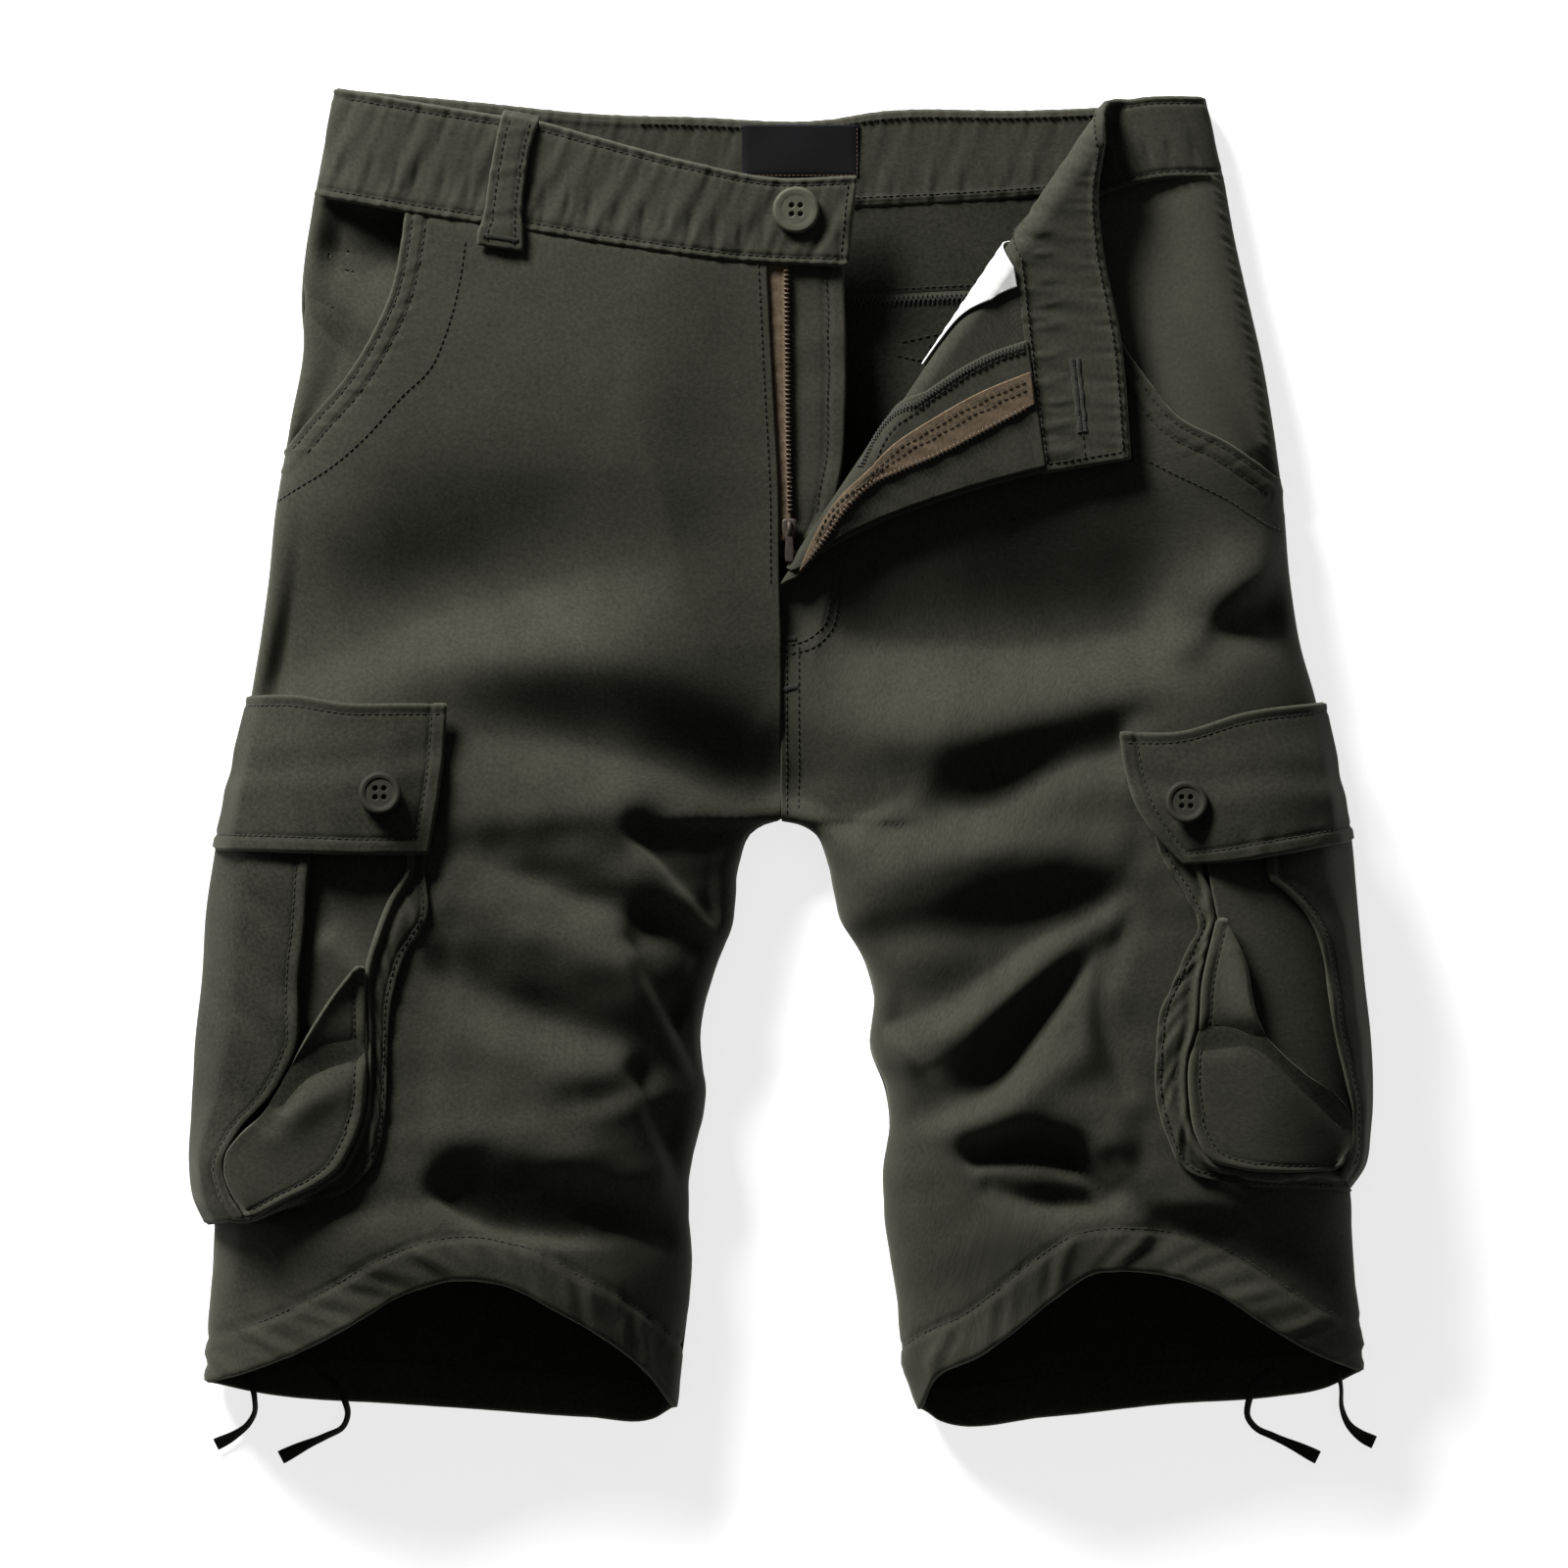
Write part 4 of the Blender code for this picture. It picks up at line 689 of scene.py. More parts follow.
def creased(rows, x, y):
    """The sum of a table of creases: across each path a bell with its own spread on each
    side, along it a height that runs from start to end by a half sine above a base."""
    total = np.zeros(np.shape(x))
    for row in rows:
        crease = dict(zip(CREASE_COLUMNS, row))
        path = along(smooth(crease["path"]), np.linspace(0, 1, 48))
        run, left, gap = beside(path, x, y, 48)
        t = np.clip(run / run_of(path)[-1], 0, 1)
        ends = crease["start"] * (1 - t) + crease["end"] * t
        level = ends + (1 - ends) * np.sin(np.pi * t)
        to_left = 0.5 + 0.5 * left / np.maximum(gap, 1e-3)
        spread = crease["right"] + (crease["left"] - crease["right"]) * to_left
        total += crease["height"] * level * bell(gap, spread)
    return total


def front_height(x, y, side):
    """Height of the front's outer face: edges rounding down, creases fading at them."""
    x, y = np.broadcast_arrays(np.asarray(x, float), np.asarray(y, float))
    toward = 1 if side == "right" else -1
    outer = np.maximum(toward * (x - x_at(SIDE_CURVE[side], y)), 0)
    inner = np.maximum(toward * (x_at(INNER_CURVE[side], y) - x), 0)
    crown, low, seam = loft("crown", y), loft("inner", y), loft("seam", y)
    height = seam + (crown - seam) * quarter_round(outer, loft("outer_reach", y))
    reach = loft("inner_reach", y)
    leg = ease((CENTRE_ROUND_TOP - y) / CENTRE_ROUND_FADE)
    from_inseam = beside(INSEAM_CURVE[side], x, y)[2]
    rise = (1 - leg) * ease(inner / reach) + leg * quarter_round(from_inseam, reach)
    height -= (crown - low) * (1 - rise)
    fade = ease(np.minimum(outer, from_inseam) / FOLD_EDGE_FADE)
    zone = ease((np.abs(x) - POCKET_ZONE["x"]) / POCKET_ZONE["x_fade"])
    zone *= ease((POCKET_ZONE["top"] - y) / POCKET_ZONE["y_fade"])
    zone *= ease((y - POCKET_ZONE["foot"]) / POCKET_ZONE["y_fade"])
    return height + creased(CREASES[side], x, y) * fade * (1 - zone)


def right_face(x, y):
    """The right front's outer face over the plan."""
    return raised(x, y, front_height(x, y, "right") + SEAM_RISE)


# The turned-back corner: the silhouette of its fold runs from the waist to the fly's foot.
FOLD_LINE_TOP = (146.7, 295.7)
FOLD_LINE_FOOT = (1.0, 79.0)
FOLD_RADIUS_TOP = 8.5
FOLD_RADIUS_FOOT = 2.6
FOLD_FOOT_Y = 72
CORNER_REST_GAP = 5.0
CORNER_SETTLE = 45.0
FOLD_SPAN = np.subtract(FOLD_LINE_FOOT, FOLD_LINE_TOP).astype(float)
FOLD_RUN = FOLD_SPAN / np.linalg.norm(FOLD_SPAN)
FOLD_ACROSS = np.array([FOLD_RUN[1], -FOLD_RUN[0]])


def fold_place(x, y):
    """The fold's radius abreast of a point, and how far past the fold's start it lies."""
    dx, dy = x - FOLD_LINE_TOP[0], y - FOLD_LINE_TOP[1]
    share = (dx * FOLD_RUN[0] + dy * FOLD_RUN[1]) / np.linalg.norm(FOLD_SPAN)
    radius = FOLD_RADIUS_TOP + (FOLD_RADIUS_FOOT - FOLD_RADIUS_TOP) * np.clip(share, 0, 1)
    return radius, dx * FOLD_ACROSS[0] + dy * FOLD_ACROSS[1] + radius


def fold_start(share):
    """The points where the cloth leaves the front to go round the fold."""
    share = np.asarray(share)[:, None]
    radius = FOLD_RADIUS_TOP + (FOLD_RADIUS_FOOT - FOLD_RADIUS_TOP) * share
    return FOLD_LINE_TOP + FOLD_SPAN * share - radius * FOLD_ACROSS


def left_face(x, y, lift=0.0):
    """The left front, lift above its outer face, with the corner rolled over the fold.

    Across the fold line the cloth goes round half a turn of the fold's radius, lands
    mirrored on the front with its inside up, and settles towards it further on.
    """
    x, y = np.asarray(x, float), np.asarray(y, float)
    radius, past = fold_place(x, y)
    turn = np.pi * np.clip(past / (2 * radius), 0, 1)
    lies = np.minimum(past, 0) + (radius - lift) * np.sin(turn)
    lies = np.where(past > 2 * radius, 2 * radius - past, lies)
    x_new = x + (lies - past) * FOLD_ACROSS[0]
    y_new = y + (lies - past) * FOLD_ACROSS[1]
    settled = np.exp(-np.maximum(past - 2 * radius, 0) / CORNER_SETTLE)
    gap = CORNER_REST_GAP + (2 * radius - CORNER_REST_GAP) * settled
    z = front_height(x_new, y_new, "left") + gap * (1 - np.cos(turn)) / 2 + SEAM_RISE
    return raised(x_new, y_new, z + lift * np.cos(turn))


def hem_relief(x, y, side):
    """Rise at the front hem: the folded casing, its slanting puckers and its stitch."""
    run, _, gap = beside(smooth(FRONT_HEM[side]), x, y)
    casing = 0.9 * ease((CASING + 1 - gap) / 2)
    return casing + puckers(HEM_PUCKERS, run, gap) + ridge(gap, *HEM_STITCH)


def mouth_relief(x, y, side):
    """Rise along the hand pocket's mouth: a turned rim, two stitch rows and puckers."""
    run, _, gap = beside(smooth(MOUTH[side]), x, y)
    rim = 0.4 * ease((MOUTH_ROWS[1] + 0.5 - gap) / 2)
    rows = sum(ridge(gap, at, -0.6, 0.6) for at in MOUTH_ROWS)
    return rim + rows + puckers(MOUTH_PUCKERS, run, gap)


def front_relief(x, y, side):
    """All relief of a front panel along its normal, tucked in under the waistband."""
    crumpled = ease((CRUMPLED["top"] - y) / CRUMPLED["fade"])
    waves = 0.5 * np.sin(x / 17 + y / 11) * np.sin(y / 23 - x / 29) * (0.4 + crumpled)
    waves = waves + 0.3 * crumpled * np.sin(x / 7.3 - y / 5.1 + 1.4 * np.sin(y / 19)) * np.sin(
        x / 13 + y / 9.1 + np.sin(x / 23))
    foot = smooth(BAND_FOOT[side])
    foot = foot if side == "right" else foot[::-1]
    above = y - np.interp(x, foot[:, 0], foot[:, 1]) + BAND_TUCK["above"]
    tuck = -BAND_TUCK["depth"] * ease(above / BAND_TUCK["fade"])
    return hem_relief(x, y, side) + mouth_relief(x, y, side) + waves + tuck


def add_front(side, face, grid):
    """A front panel from its plan grid, by its face and its relief."""
    x, y = grid[..., 0], grid[..., 1]
    relief = front_relief(x, y, side)
    # Colour lighter where the relief rises (wear) and darker where it sinks (painted shade).
    cover("front_" + side, face(x, y), relief, CLOTH,
          FRONT_WEAR_AND_SHADE["relief"] * (relief - FRONT_WEAR_AND_SHADE["level"]), "back_" + side)


mouth = smooth(MOUTH["right"])
outer_edge = np.vstack([mouth[:-1], below(SIDE_CURVE["right"], MOUTH["right"][-1][1])])
top = cut_by_x(smooth(BAND_FOOT["right"]), mouth[0, 0], CENTRE_EDGE["right"][0][0])
top = top + (0, UNDER_BAND)
inner_edge = INNER_CURVE["right"].copy()
outer_edge[0], inner_edge[0] = top[0], top[-1]
add_front("right", right_face, coons(top, smooth(FRONT_HEM["right"]), outer_edge, inner_edge,
                                     shares(RIGHT_ROWS), FRONT_COLUMNS))


def corner_grid(guide, edge, steps):
    """Rows from a corner's free edge in to the start of its fold, close together round it.

    guide and edge are sampled alike; steps is how many rows go round the fold.
    """
    radius, reach = fold_place(edge[:, 0], edge[:, 1])
    reach = np.maximum(reach, 0.01)
    round_part = np.minimum(2 * radius, 0.6 * reach) / reach
    near = np.linspace(0, 1, steps + 1)[:, None] * round_part[None]
    far = round_part + (1 - round_part) * np.linspace(0, 1, steps)[1:, None]
    share = np.vstack([near, far])[::-1, :, None]
    return guide[None] * (1 - share) + edge[None] * share


outer_edge = np.vstack([smooth(MOUTH["left"])[:-1],
                        below(SIDE_CURVE["left"], MOUTH["left"][-1][1])])
waist = smooth(BAND_FOOT["left"])[::-1] + (0, UNDER_BAND)
starts = fold_start(np.linspace(0, 1, 300))
starts = starts[starts[:, 1] < np.interp(starts[:, 0], waist[:, 0], waist[:, 1])]
guide = np.vstack([starts, [(x_at(INNER_CURVE["left"], FOLD_FOOT_Y), FOLD_FOOT_Y)]])
outer_edge[0] = guide[0]
inner_edge = below(INNER_CURVE["left"], FOLD_FOOT_Y)
rest = coons(guide, smooth(FRONT_HEM["left"]), outer_edge, inner_edge, shares(LEFT_ROWS),
             FRONT_COLUMNS)
waist = cut_by_x(waist, guide[0, 0], CENTRE_EDGE["left"][0][0])
centre = smooth(CENTRE_EDGE["left"])
centre = centre[(centre[:, 1] > FOLD_FOOT_Y) & (centre[:, 1] < waist[-1, 1] - 0.1)]
edge = along(np.vstack([waist, centre, guide[-1:]]), FRONT_COLUMNS)
corner = corner_grid(rest[0], edge, CORNER_STEPS)
add_front("left", left_face, np.vstack([corner[:-1], rest]))


# ---- Seams of the panels ----------------------------------------------------------------
# Matt polyester thread, darker than the cloth as painted shade of the grooves it sinks
# into: topstitching in short even stitches, and bartacks of close bars where the fly
# is strained.
STITCH = {"pitch": 3.1, "length": 2.3, "radius": 0.3}
FACING_STITCH = {
    "right": [(-146, 236), (-149, 216), (-155, 193), (-162, 177), (-175, 164), (-193, 144),
              (-207, 132), (-225, 121), (-233, 116)],
    "left": [(150, 143), (158, 139), (180, 128), (203, 117), (221, 106), (230, 102)],
}
FLY_CURVES = [[(30, 96), (27, 84), (25, 70), (22, 57), (14, 49), (3, 46)],
              [(26.5, 92), (23.5, 82), (21.5, 70), (19, 60), (12, 53), (3, 50)]]
BARTACKS = [((-2, 53), (6, 53)), ((-2, 29), (7, 31))]
CENTRE_ROWS = [[(1.6, 62), (1.6, -28)], [(7.2, 50), (7.2, -26)]]
EDGE_ROW = {"inset": 3.6, "foot": 76}
STITCH_LIFT = 0.15
TACK_STEPS = 24


def thread_material(name, colour):
    """Twisted thread: a soft sheen, and a faint unevenness on its own coordinates."""
    material, tree, shader = new_material(name, Roughness=0.8, Specular_IOR_Level=0.15,
                                          Sheen_Weight=0.1)
    place = add_node(tree, "ShaderNodeTexCoord").outputs["Object"]
    fuzz = add_node(tree, "ShaderNodeTexNoise", {"Vector": place, "Scale": 2600.0,
                                                 "Detail": 2.0}).outputs["Fac"]
    shade = math(tree, "MULTIPLY_ADD", fuzz, 0.8, 0.6)
    tree.links.new(shaded(tree, colour, shade), shader.inputs["Base Color"])
    return material


# The thread is darker than the twill: painted shade of the grooves the stitches sink into.
olive_thread = thread_material("olive_thread", (0.013, 0.013, 0.010))


def framed(face, a, b, step=0.3, up=1):
    """Points of a face at two plan values and its unit normals there, the cross product
    of its slopes in both, from central differences."""
    a, b = np.asarray(a, float), np.asarray(b, float)
    slope_a = face(a + step, b) - face(a - step, b)
    slope_b = face(a, b + step) - face(a, b - step)
    return face(a, b), up * unit(np.cross(slope_a, slope_b))


def spaced(points, normals, pitch):
    """Middles, directions and normals at an even pitch along a row of points."""
    run = run_of(points)
    count = max(int(run[-1] / pitch), 1)
    where = (np.arange(count) + 0.5) * run[-1] / count
    forward = unit(np.gradient(points, run, axis=0))
    return [at_run(values, run, where) for values in (points, forward, normals)]


def crosswise(points, normals, pitch):
    """Middles, directions across a row of points and normals, at an even pitch."""
    middle, forward, normal = spaced(points, normals, pitch)
    return [middle, np.cross(normal, forward), normal]


def spindles(name, rows, material, length, radius, arch=0.25):
    """Many short threads in one mesh: each a four-sided spindle of four rings about its
    own direction, thickest and highest in the middle. rows holds middles, directions and
    normals."""
    middle, forward, normal = (np.concatenate(values) for values in zip(*rows))
    forward, normal = unit(forward), unit(normal)
    side = unit(np.cross(normal, forward))
    t = np.array([-1.0, -0.5, 0.5, 1.0])
    full = np.array([0.45, 1.0, 1.0, 0.45]) * radius
    line = middle[:, None] + forward[:, None] * (t * length / 2)[:, None]
    line = line + normal[:, None] * (arch * (1 - t**2))[:, None]
    turn = np.arange(4) * np.pi / 2 + np.pi / 4
    ring = side[:, None] * np.cos(turn)[:, None] + normal[:, None] * np.sin(turn)[:, None]
    points = line[:, :, None] + full[:, None, None] * ring[:, None]
    one = np.array(tube_faces(4, 4))
    faces = (one[None] + 16 * np.arange(len(middle))[:, None, None]).reshape(-1, 4)
    piece = add_piece(name, points.reshape(-1, 3), faces.tolist(), material)
    settle(piece, "olive_twill")


def sew(name, rows):
    """Rows of topstitching in one mesh."""
    spindles(name, rows, olive_thread, STITCH["length"], STITCH["radius"])


def offset(curve, distance):
    """A dense curve moved to its own left by a distance."""
    curve = along(np.asarray(curve, float), np.linspace(0, 1, 200))
    tangent = unit(np.gradient(curve, axis=0))
    return curve + distance * np.stack([-tangent[:, 1], tangent[:, 0]], -1)


def stitched(face, path, step=0.3, up=1, pitch=STITCH["pitch"]):
    """A row of stitches on a face along a path of two plan values."""
    path = along(np.asarray(path, float), np.linspace(0, 1, 160))
    points, normals = framed(face, path[:, 0], path[:, 1], step, up)
    return spaced(points + STITCH_LIFT * normals, normals, pitch)


def front_cloth(side):
    """The outer face of a front panel with its relief along its normal."""
    face = right_face if side == "right" else left_face

    def relieved(x, y):
        """The face's points moved out by the relief."""
        points, normals = framed(face, x, y)
        return points + normals * front_relief(x, y, side)[..., None]
    return relieved


def bars(face, line, step=0.3, up=1, pitch=0.5, lift=0.2):
    """Bars across a line, closely spaced."""
    points, normals = framed(face, line[:, 0], line[:, 1], step, up)
    return crosswise(points + lift * normals, normals, pitch)


def within_leg(path, side, margin=1.5):
    """The part of a path that lies between the side seam and the inseam."""
    ends = x_at(SIDE_CURVE[side], path[:, 1]), x_at(INNER_CURVE[side], path[:, 1])
    inside = path[:, 0] > np.minimum(*ends) + margin
    return path[inside & (path[:, 0] < np.maximum(*ends) - margin)]


right_cloth, left_cloth = front_cloth("right"), front_cloth("left")
for side, cloth_face, left_hand in (("right", right_cloth, 1), ("left", left_cloth, -1)):
    hem_row = within_leg(offset(smooth(FRONT_HEM[side]), left_hand * CASING), side)
    rows = [stitched(cloth_face, hem_row), stitched(cloth_face, smooth(FACING_STITCH[side]))]
    for inset in MOUTH_ROWS:
        rows.append(stitched(cloth_face, offset(smooth(MOUTH[side]), left_hand * inset)[5:-8]))
    if side == "right":
        edge_row = smooth(CENTRE_EDGE["right"]) - (EDGE_ROW["inset"], 0)
        rows.append(stitched(cloth_face, edge_row[edge_row[:, 1] > EDGE_ROW["foot"]]))
    else:
        rows += [stitched(cloth_face, smooth(curve)) for curve in FLY_CURVES]
        rows += [stitched(cloth_face, row) for row in CENTRE_ROWS]
    sew("stitching_front_" + side, rows)
fly_tacks = [bars(left_cloth, np.linspace(*ends, TACK_STEPS)) for ends in BARTACKS]
spindles("bartacks_fly", fly_tacks, olive_thread, 2.6, 0.3)


# ---- Waistband --------------------------------------------------------------------------
# A doubled strip of twill, folded at its top edge and topstitched along both edges. It has
# shrunk into steep ripples. Right front, back and turned-back left front are three lengths.
BAND_CLOTH = 3.0
BAND_PROUD = 1.2
BAND_TOP = {
    "right": [(-207, 306), (-180, 301), (-132, 293), (-112, 290), (-90, 284), (-45, 272),
              (-4, 264), (33, 265)],
    "left": [(195, 302), (165, 301), (143, 296), (128, 287), (112, 278), (90, 271),
             (45, 262), (-6, 246)],
    "back": [(-207, 306), (-144, 300), (-81, 294), (-45, 293), (23, 292), (41, 295),
             (113, 296), (158, 298), (195, 302)],
}
BAND_FOOT["back"] = BACK_BAND_FOOT
BAND_CURVES = {part: (smooth(BAND_TOP[part]), smooth(BAND_FOOT[part])) for part in BAND_TOP}
BAND_LENGTH = {"right": 245, "back": 405, "left": 215}
BAND_SEED = {"right": 0.4, "back": 1.7, "left": 2.6}
BAND_SHRINK = {"right": 1.0, "back": 0.55, "left": 0.7}
BAND_STITCH = 2.6
BAND_WIDTH = 42
# Height, slant, period and the share and spread where the band's ripples swell, and depth,
# pitch, share and spread of the dimples near its foot.
BAND_RIPPLE = (0.6, 0.4, 15.5, 0.6, 0.3)
BAND_DIMPLE = (0.9, 11.5, 0.7, 0.11)
SMALL_RIPPLE = (0.3, 0.2, 6.5, 0.2)
BAND_GROOVE = (0.8, 0.8)
BAND_FILL = 0.8
BACK_BAND_SINK = 1.2
BAND_STEP = 0.002

def band_place(part, s, v):
    """The plan of a band at shares s along it and v from its top edge to its foot."""
    top, foot = BAND_CURVES[part]
    flat_s = np.ravel(s)
    a, b = (at_run(curve, run_of(curve) / run_of(curve)[-1], flat_s).reshape(*np.shape(s), 2)
            for curve in (top, foot))
    v = np.asarray(v)[..., None]
    place = a * (1 - v) + b * v
    return place[..., 0], place[..., 1]


def band_ripples(part, s, v):
    """Relief of a shrunk band: slanting ripples that are deepest in its lower half, and a
    groove along the stitch at each edge."""
    seed, run, down = BAND_SEED[part], s * BAND_LENGTH[part], v * BAND_WIDTH
    height, slant, period, share, spread = BAND_RIPPLE
    swell = 0.4 + 0.6 * bell(v - share, spread)
    ripple = height * uneven(run + slant * down, period, seed) * swell
    depth, pitch, share, spread = BAND_DIMPLE
    turns = run / pitch + 0.12 * uneven(run, 40, seed)
    dimple = depth * (0.5 + 0.5 * np.cos(2 * np.pi * turns)) ** 3 * bell(v - share, spread)
    height, slant, period, spread = SMALL_RIPPLE
    edges = bell(v, spread) + bell(v - 1, spread)
    small = height * uneven(run + slant * down, period, seed + 1.3) * edges
    depth, spread = BAND_GROOVE
    groove = bell(down - BAND_STITCH, spread) + bell(BAND_WIDTH - down - BAND_STITCH, spread)
    return BAND_SHRINK[part] * (ripple - dimple) + small - depth * groove


def band_right(s, v):
    """Outer face of the right band: the front's face, a little proud of it."""
    x, y = band_place("right", s, v)
    return right_face(x, y) + (0, 0, BAND_PROUD)


def band_left(s, v):
    """Outer face of the left band: the turned front's face, a little proud of it."""
    x, y = band_place("left", s, v)
    return left_face(x, y, BAND_PROUD)


def band_back(s, v):
    """Lower face of the back band: flat, turned up at both side seams."""
    x, y = band_place("back", s, v)
    from_side = np.minimum(np.abs(x - x_at(SIDE_CURVE["right"], y)),
                           np.abs(x - x_at(SIDE_CURVE["left"], y)))
    z = (loft("seam", y) - BACK_BAND_SINK) * (1 - quarter_round(from_side, BACK_TURN))
    return raised(x, y, z)


def add_band(part, face, along_s, facing):
    """A length of band: its face, its ripples on both sides, and its doubled wall. facing
    says where most of its outer face points; the back one's lies flat on the surface."""
    s, v = np.meshgrid(along_s, shares(34, 0.4))
    base = face(s, v)
    normal = grid_normals(base, facing)
    ripples = band_ripples(part, s, v)
    outer = base if part == "back" else base + normal * ripples[..., None]
    inner = base - normal * (BAND_CLOTH - BAND_FILL * ripples)[..., None]
    # Ripple crests lighter as wear, dimples and stitch grooves darker as painted shade.
    piece = slab("band_" + part + "_shell", outer, inner, 0.09 * ripples)
    settle(piece, "olive_twill", "waistband_" + part)


add_band("right", band_right, shares(330), 1)
add_band("back", band_back, edge_shares(420, BAND_LENGTH["back"], BACK_TURN), -1)
add_band("left", band_left, shares(330), -1)


def band_cloth(part, face, inside=False):
    """A band's rippled face, or its inside, as a function of its two shares."""
    up = -1 if part == "right" else 1

    def relieved(s, v):
        """The face's points moved out by its ripples, or in by the doubled wall."""
        points, normals = framed(face, s, v, BAND_STEP, up)
        ripples = band_ripples(part, s, v)
        if inside:
            return points - normals * (BAND_CLOTH - BAND_FILL * ripples)[..., None]
        return points + normals * ripples[..., None]
    return relieved


edge_v = BAND_STITCH / BAND_WIDTH
right_band_cloth = band_cloth("right", band_right)
left_band_cloth = band_cloth("left", band_left)
left_band_inside = band_cloth("left", band_left, inside=True)
back_band_inside = band_cloth("back", band_back, inside=True)
# Each row: the face, which way it looks, and the row's ends as shares along and down.
BAND_ROWS = [
    *[row for v in (edge_v, 1 - edge_v)
      for row in ((right_band_cloth, -1, (0.03, v), (0.988, v)),
                  (left_band_cloth, 1, (0.03, v), (0.5, v)),
                  (left_band_inside, -1, (0.25, v), (0.985, v)))],
    (right_band_cloth, -1, (0.988, edge_v), (0.988, 1 - edge_v)),
    (left_band_inside, -1, (0.985, edge_v), (0.985, 1 - edge_v)),
    (left_band_inside, -1, (0.93, 0.5), (0.985, 0.5)),
]
sew("stitching_band", [stitched(face, ends, BAND_STEP, up) for face, up, *ends in BAND_ROWS])


# ---- Belt loop --------------------------------------------------------------------------
# A folded strip of twill with two stitch rows. It is caught over the band's top edge, bows
# over the band and is tacked at its foot.
LOOP_CLOTH = 2.0
LOOP_LIFT = 1.5
LOOP_WIDTH, LOOP_LENGTH = 14, 62
LOOP_STITCH = {"inset": 2.6, "depth": 0.35, "spread": 0.7, "shares": (0.19, 0.81)}
LOOP_OVER = 4.6
LOOP_CROWN = 0.5
LOOP_STEP = 0.004
LOOP_TACK = ((0.1, 0.93), (0.9, 0.93))
LOOP_OUTER = [(-128, 296.5), (-129, 293), (-132, 279), (-134.5, 265), (-138, 244),
              (-139.5, 240), (-140, 234)]
LOOP_INNER = [(-112.5, 293.5), (-113.5, 290), (-117, 278), (-119, 265), (-120.5, 246),
              (-120, 240), (-120, 231)]


def loop_place(u, v):
    """The loop at shares u across and v down: the band's height, a bow that swells between
    its ends, and a drop over the band's top edge."""
    a, b = (along(smooth(rail), np.ravel(v)).reshape(*np.shape(v), 2)
            for rail in (LOOP_OUTER, LOOP_INNER))
    place = a * (1 - u[..., None]) + b * u[..., None]
    x, y = place[..., 0], place[..., 1]
    bow = np.sin(np.pi * np.clip((v - 0.04) / 0.96, 0, 1)) ** 0.5
    z = front_height(x, y, "right") + SEAM_RISE + BAND_PROUD + LOOP_CLOTH + 0.4
    over = LOOP_OVER * (1 - ease(v / 0.07)) ** 2
    crown = LOOP_CROWN * np.sin(np.pi * u)
    return raised(x, y, z + LOOP_LIFT * bow + crown - over)


u, v = np.meshgrid(shares(26), shares(90))
base = loop_place(u, v)
inset, spread = LOOP_STITCH["inset"], LOOP_STITCH["spread"]
groove = bell(u * LOOP_WIDTH - inset, spread) + bell((1 - u) * LOOP_WIDTH - inset, spread)
relief = 0.25 * uneven(v * LOOP_LENGTH + 5 * u, 9, 0.3) - LOOP_STITCH["depth"] * groove
# Colour lighter on the loop's crests (wear) and darker in its stitch grooves (painted shade).
cover("belt_loop", base, relief, LOOP_CLOTH, 0.1 * relief, "waistband_right", lay_base=True)
sew("stitching_loop", [stitched(loop_place, [(w, 0.06), (w, 0.97)], LOOP_STEP, -1)
                       for w in LOOP_STITCH["shares"]])
loop_tack = bars(loop_place, np.linspace(*LOOP_TACK, TACK_STEPS), LOOP_STEP, -1)
spindles("bartacks_loop", [loop_tack], olive_thread, 2.2, 0.28)


# ---- Hand pocket facings ----------------------------------------------------------------
# The cloth that shows in each pocket mouth. It is the same twill, and lies deeper than the
# panel's rim and runs on under it.
FACING_EDGE = {
    "right": [(-152, 246), (-155, 225), (-162, 197), (-174, 175), (-196, 150), (-219, 131)],
    "left": [(126, 245), (131, 226), (137, 203), (148, 178), (165, 155), (190, 135),
             (216, 120)],
}
FACING_SINK = 6.0
FACING_SIDE_LIFT = 0.9
FACING_FOOT_SINK = 2.6
FACING_TOP_SINK = {"right": 10.0, "left": 0.0}
FACING_TIP = -3
FACING_UP = 1.5
FACING_IN = 1.6
FACING_ROWS, FACING_COLUMNS = 110, 70
FACING_PUCKERS = [(0.5, 1, 5.2, 0.6, 4, 1.8)]
# Painted light: the left facing is made lighter where the turned-back corner shades it.
FACING_PAINTED_LIGHT = {"right": 0.0, "left": 0.6}
FACING_CREASES = {
    "right": [([(-222, 208), (-206, 196), (-190, 178)], -3.0, 6, 4, 0.6, 0.6),
              ([(-214, 232), (-196, 226), (-180, 228)], -2.0, 7, 6, 0.6, 0.6)],
    "left": [],
}


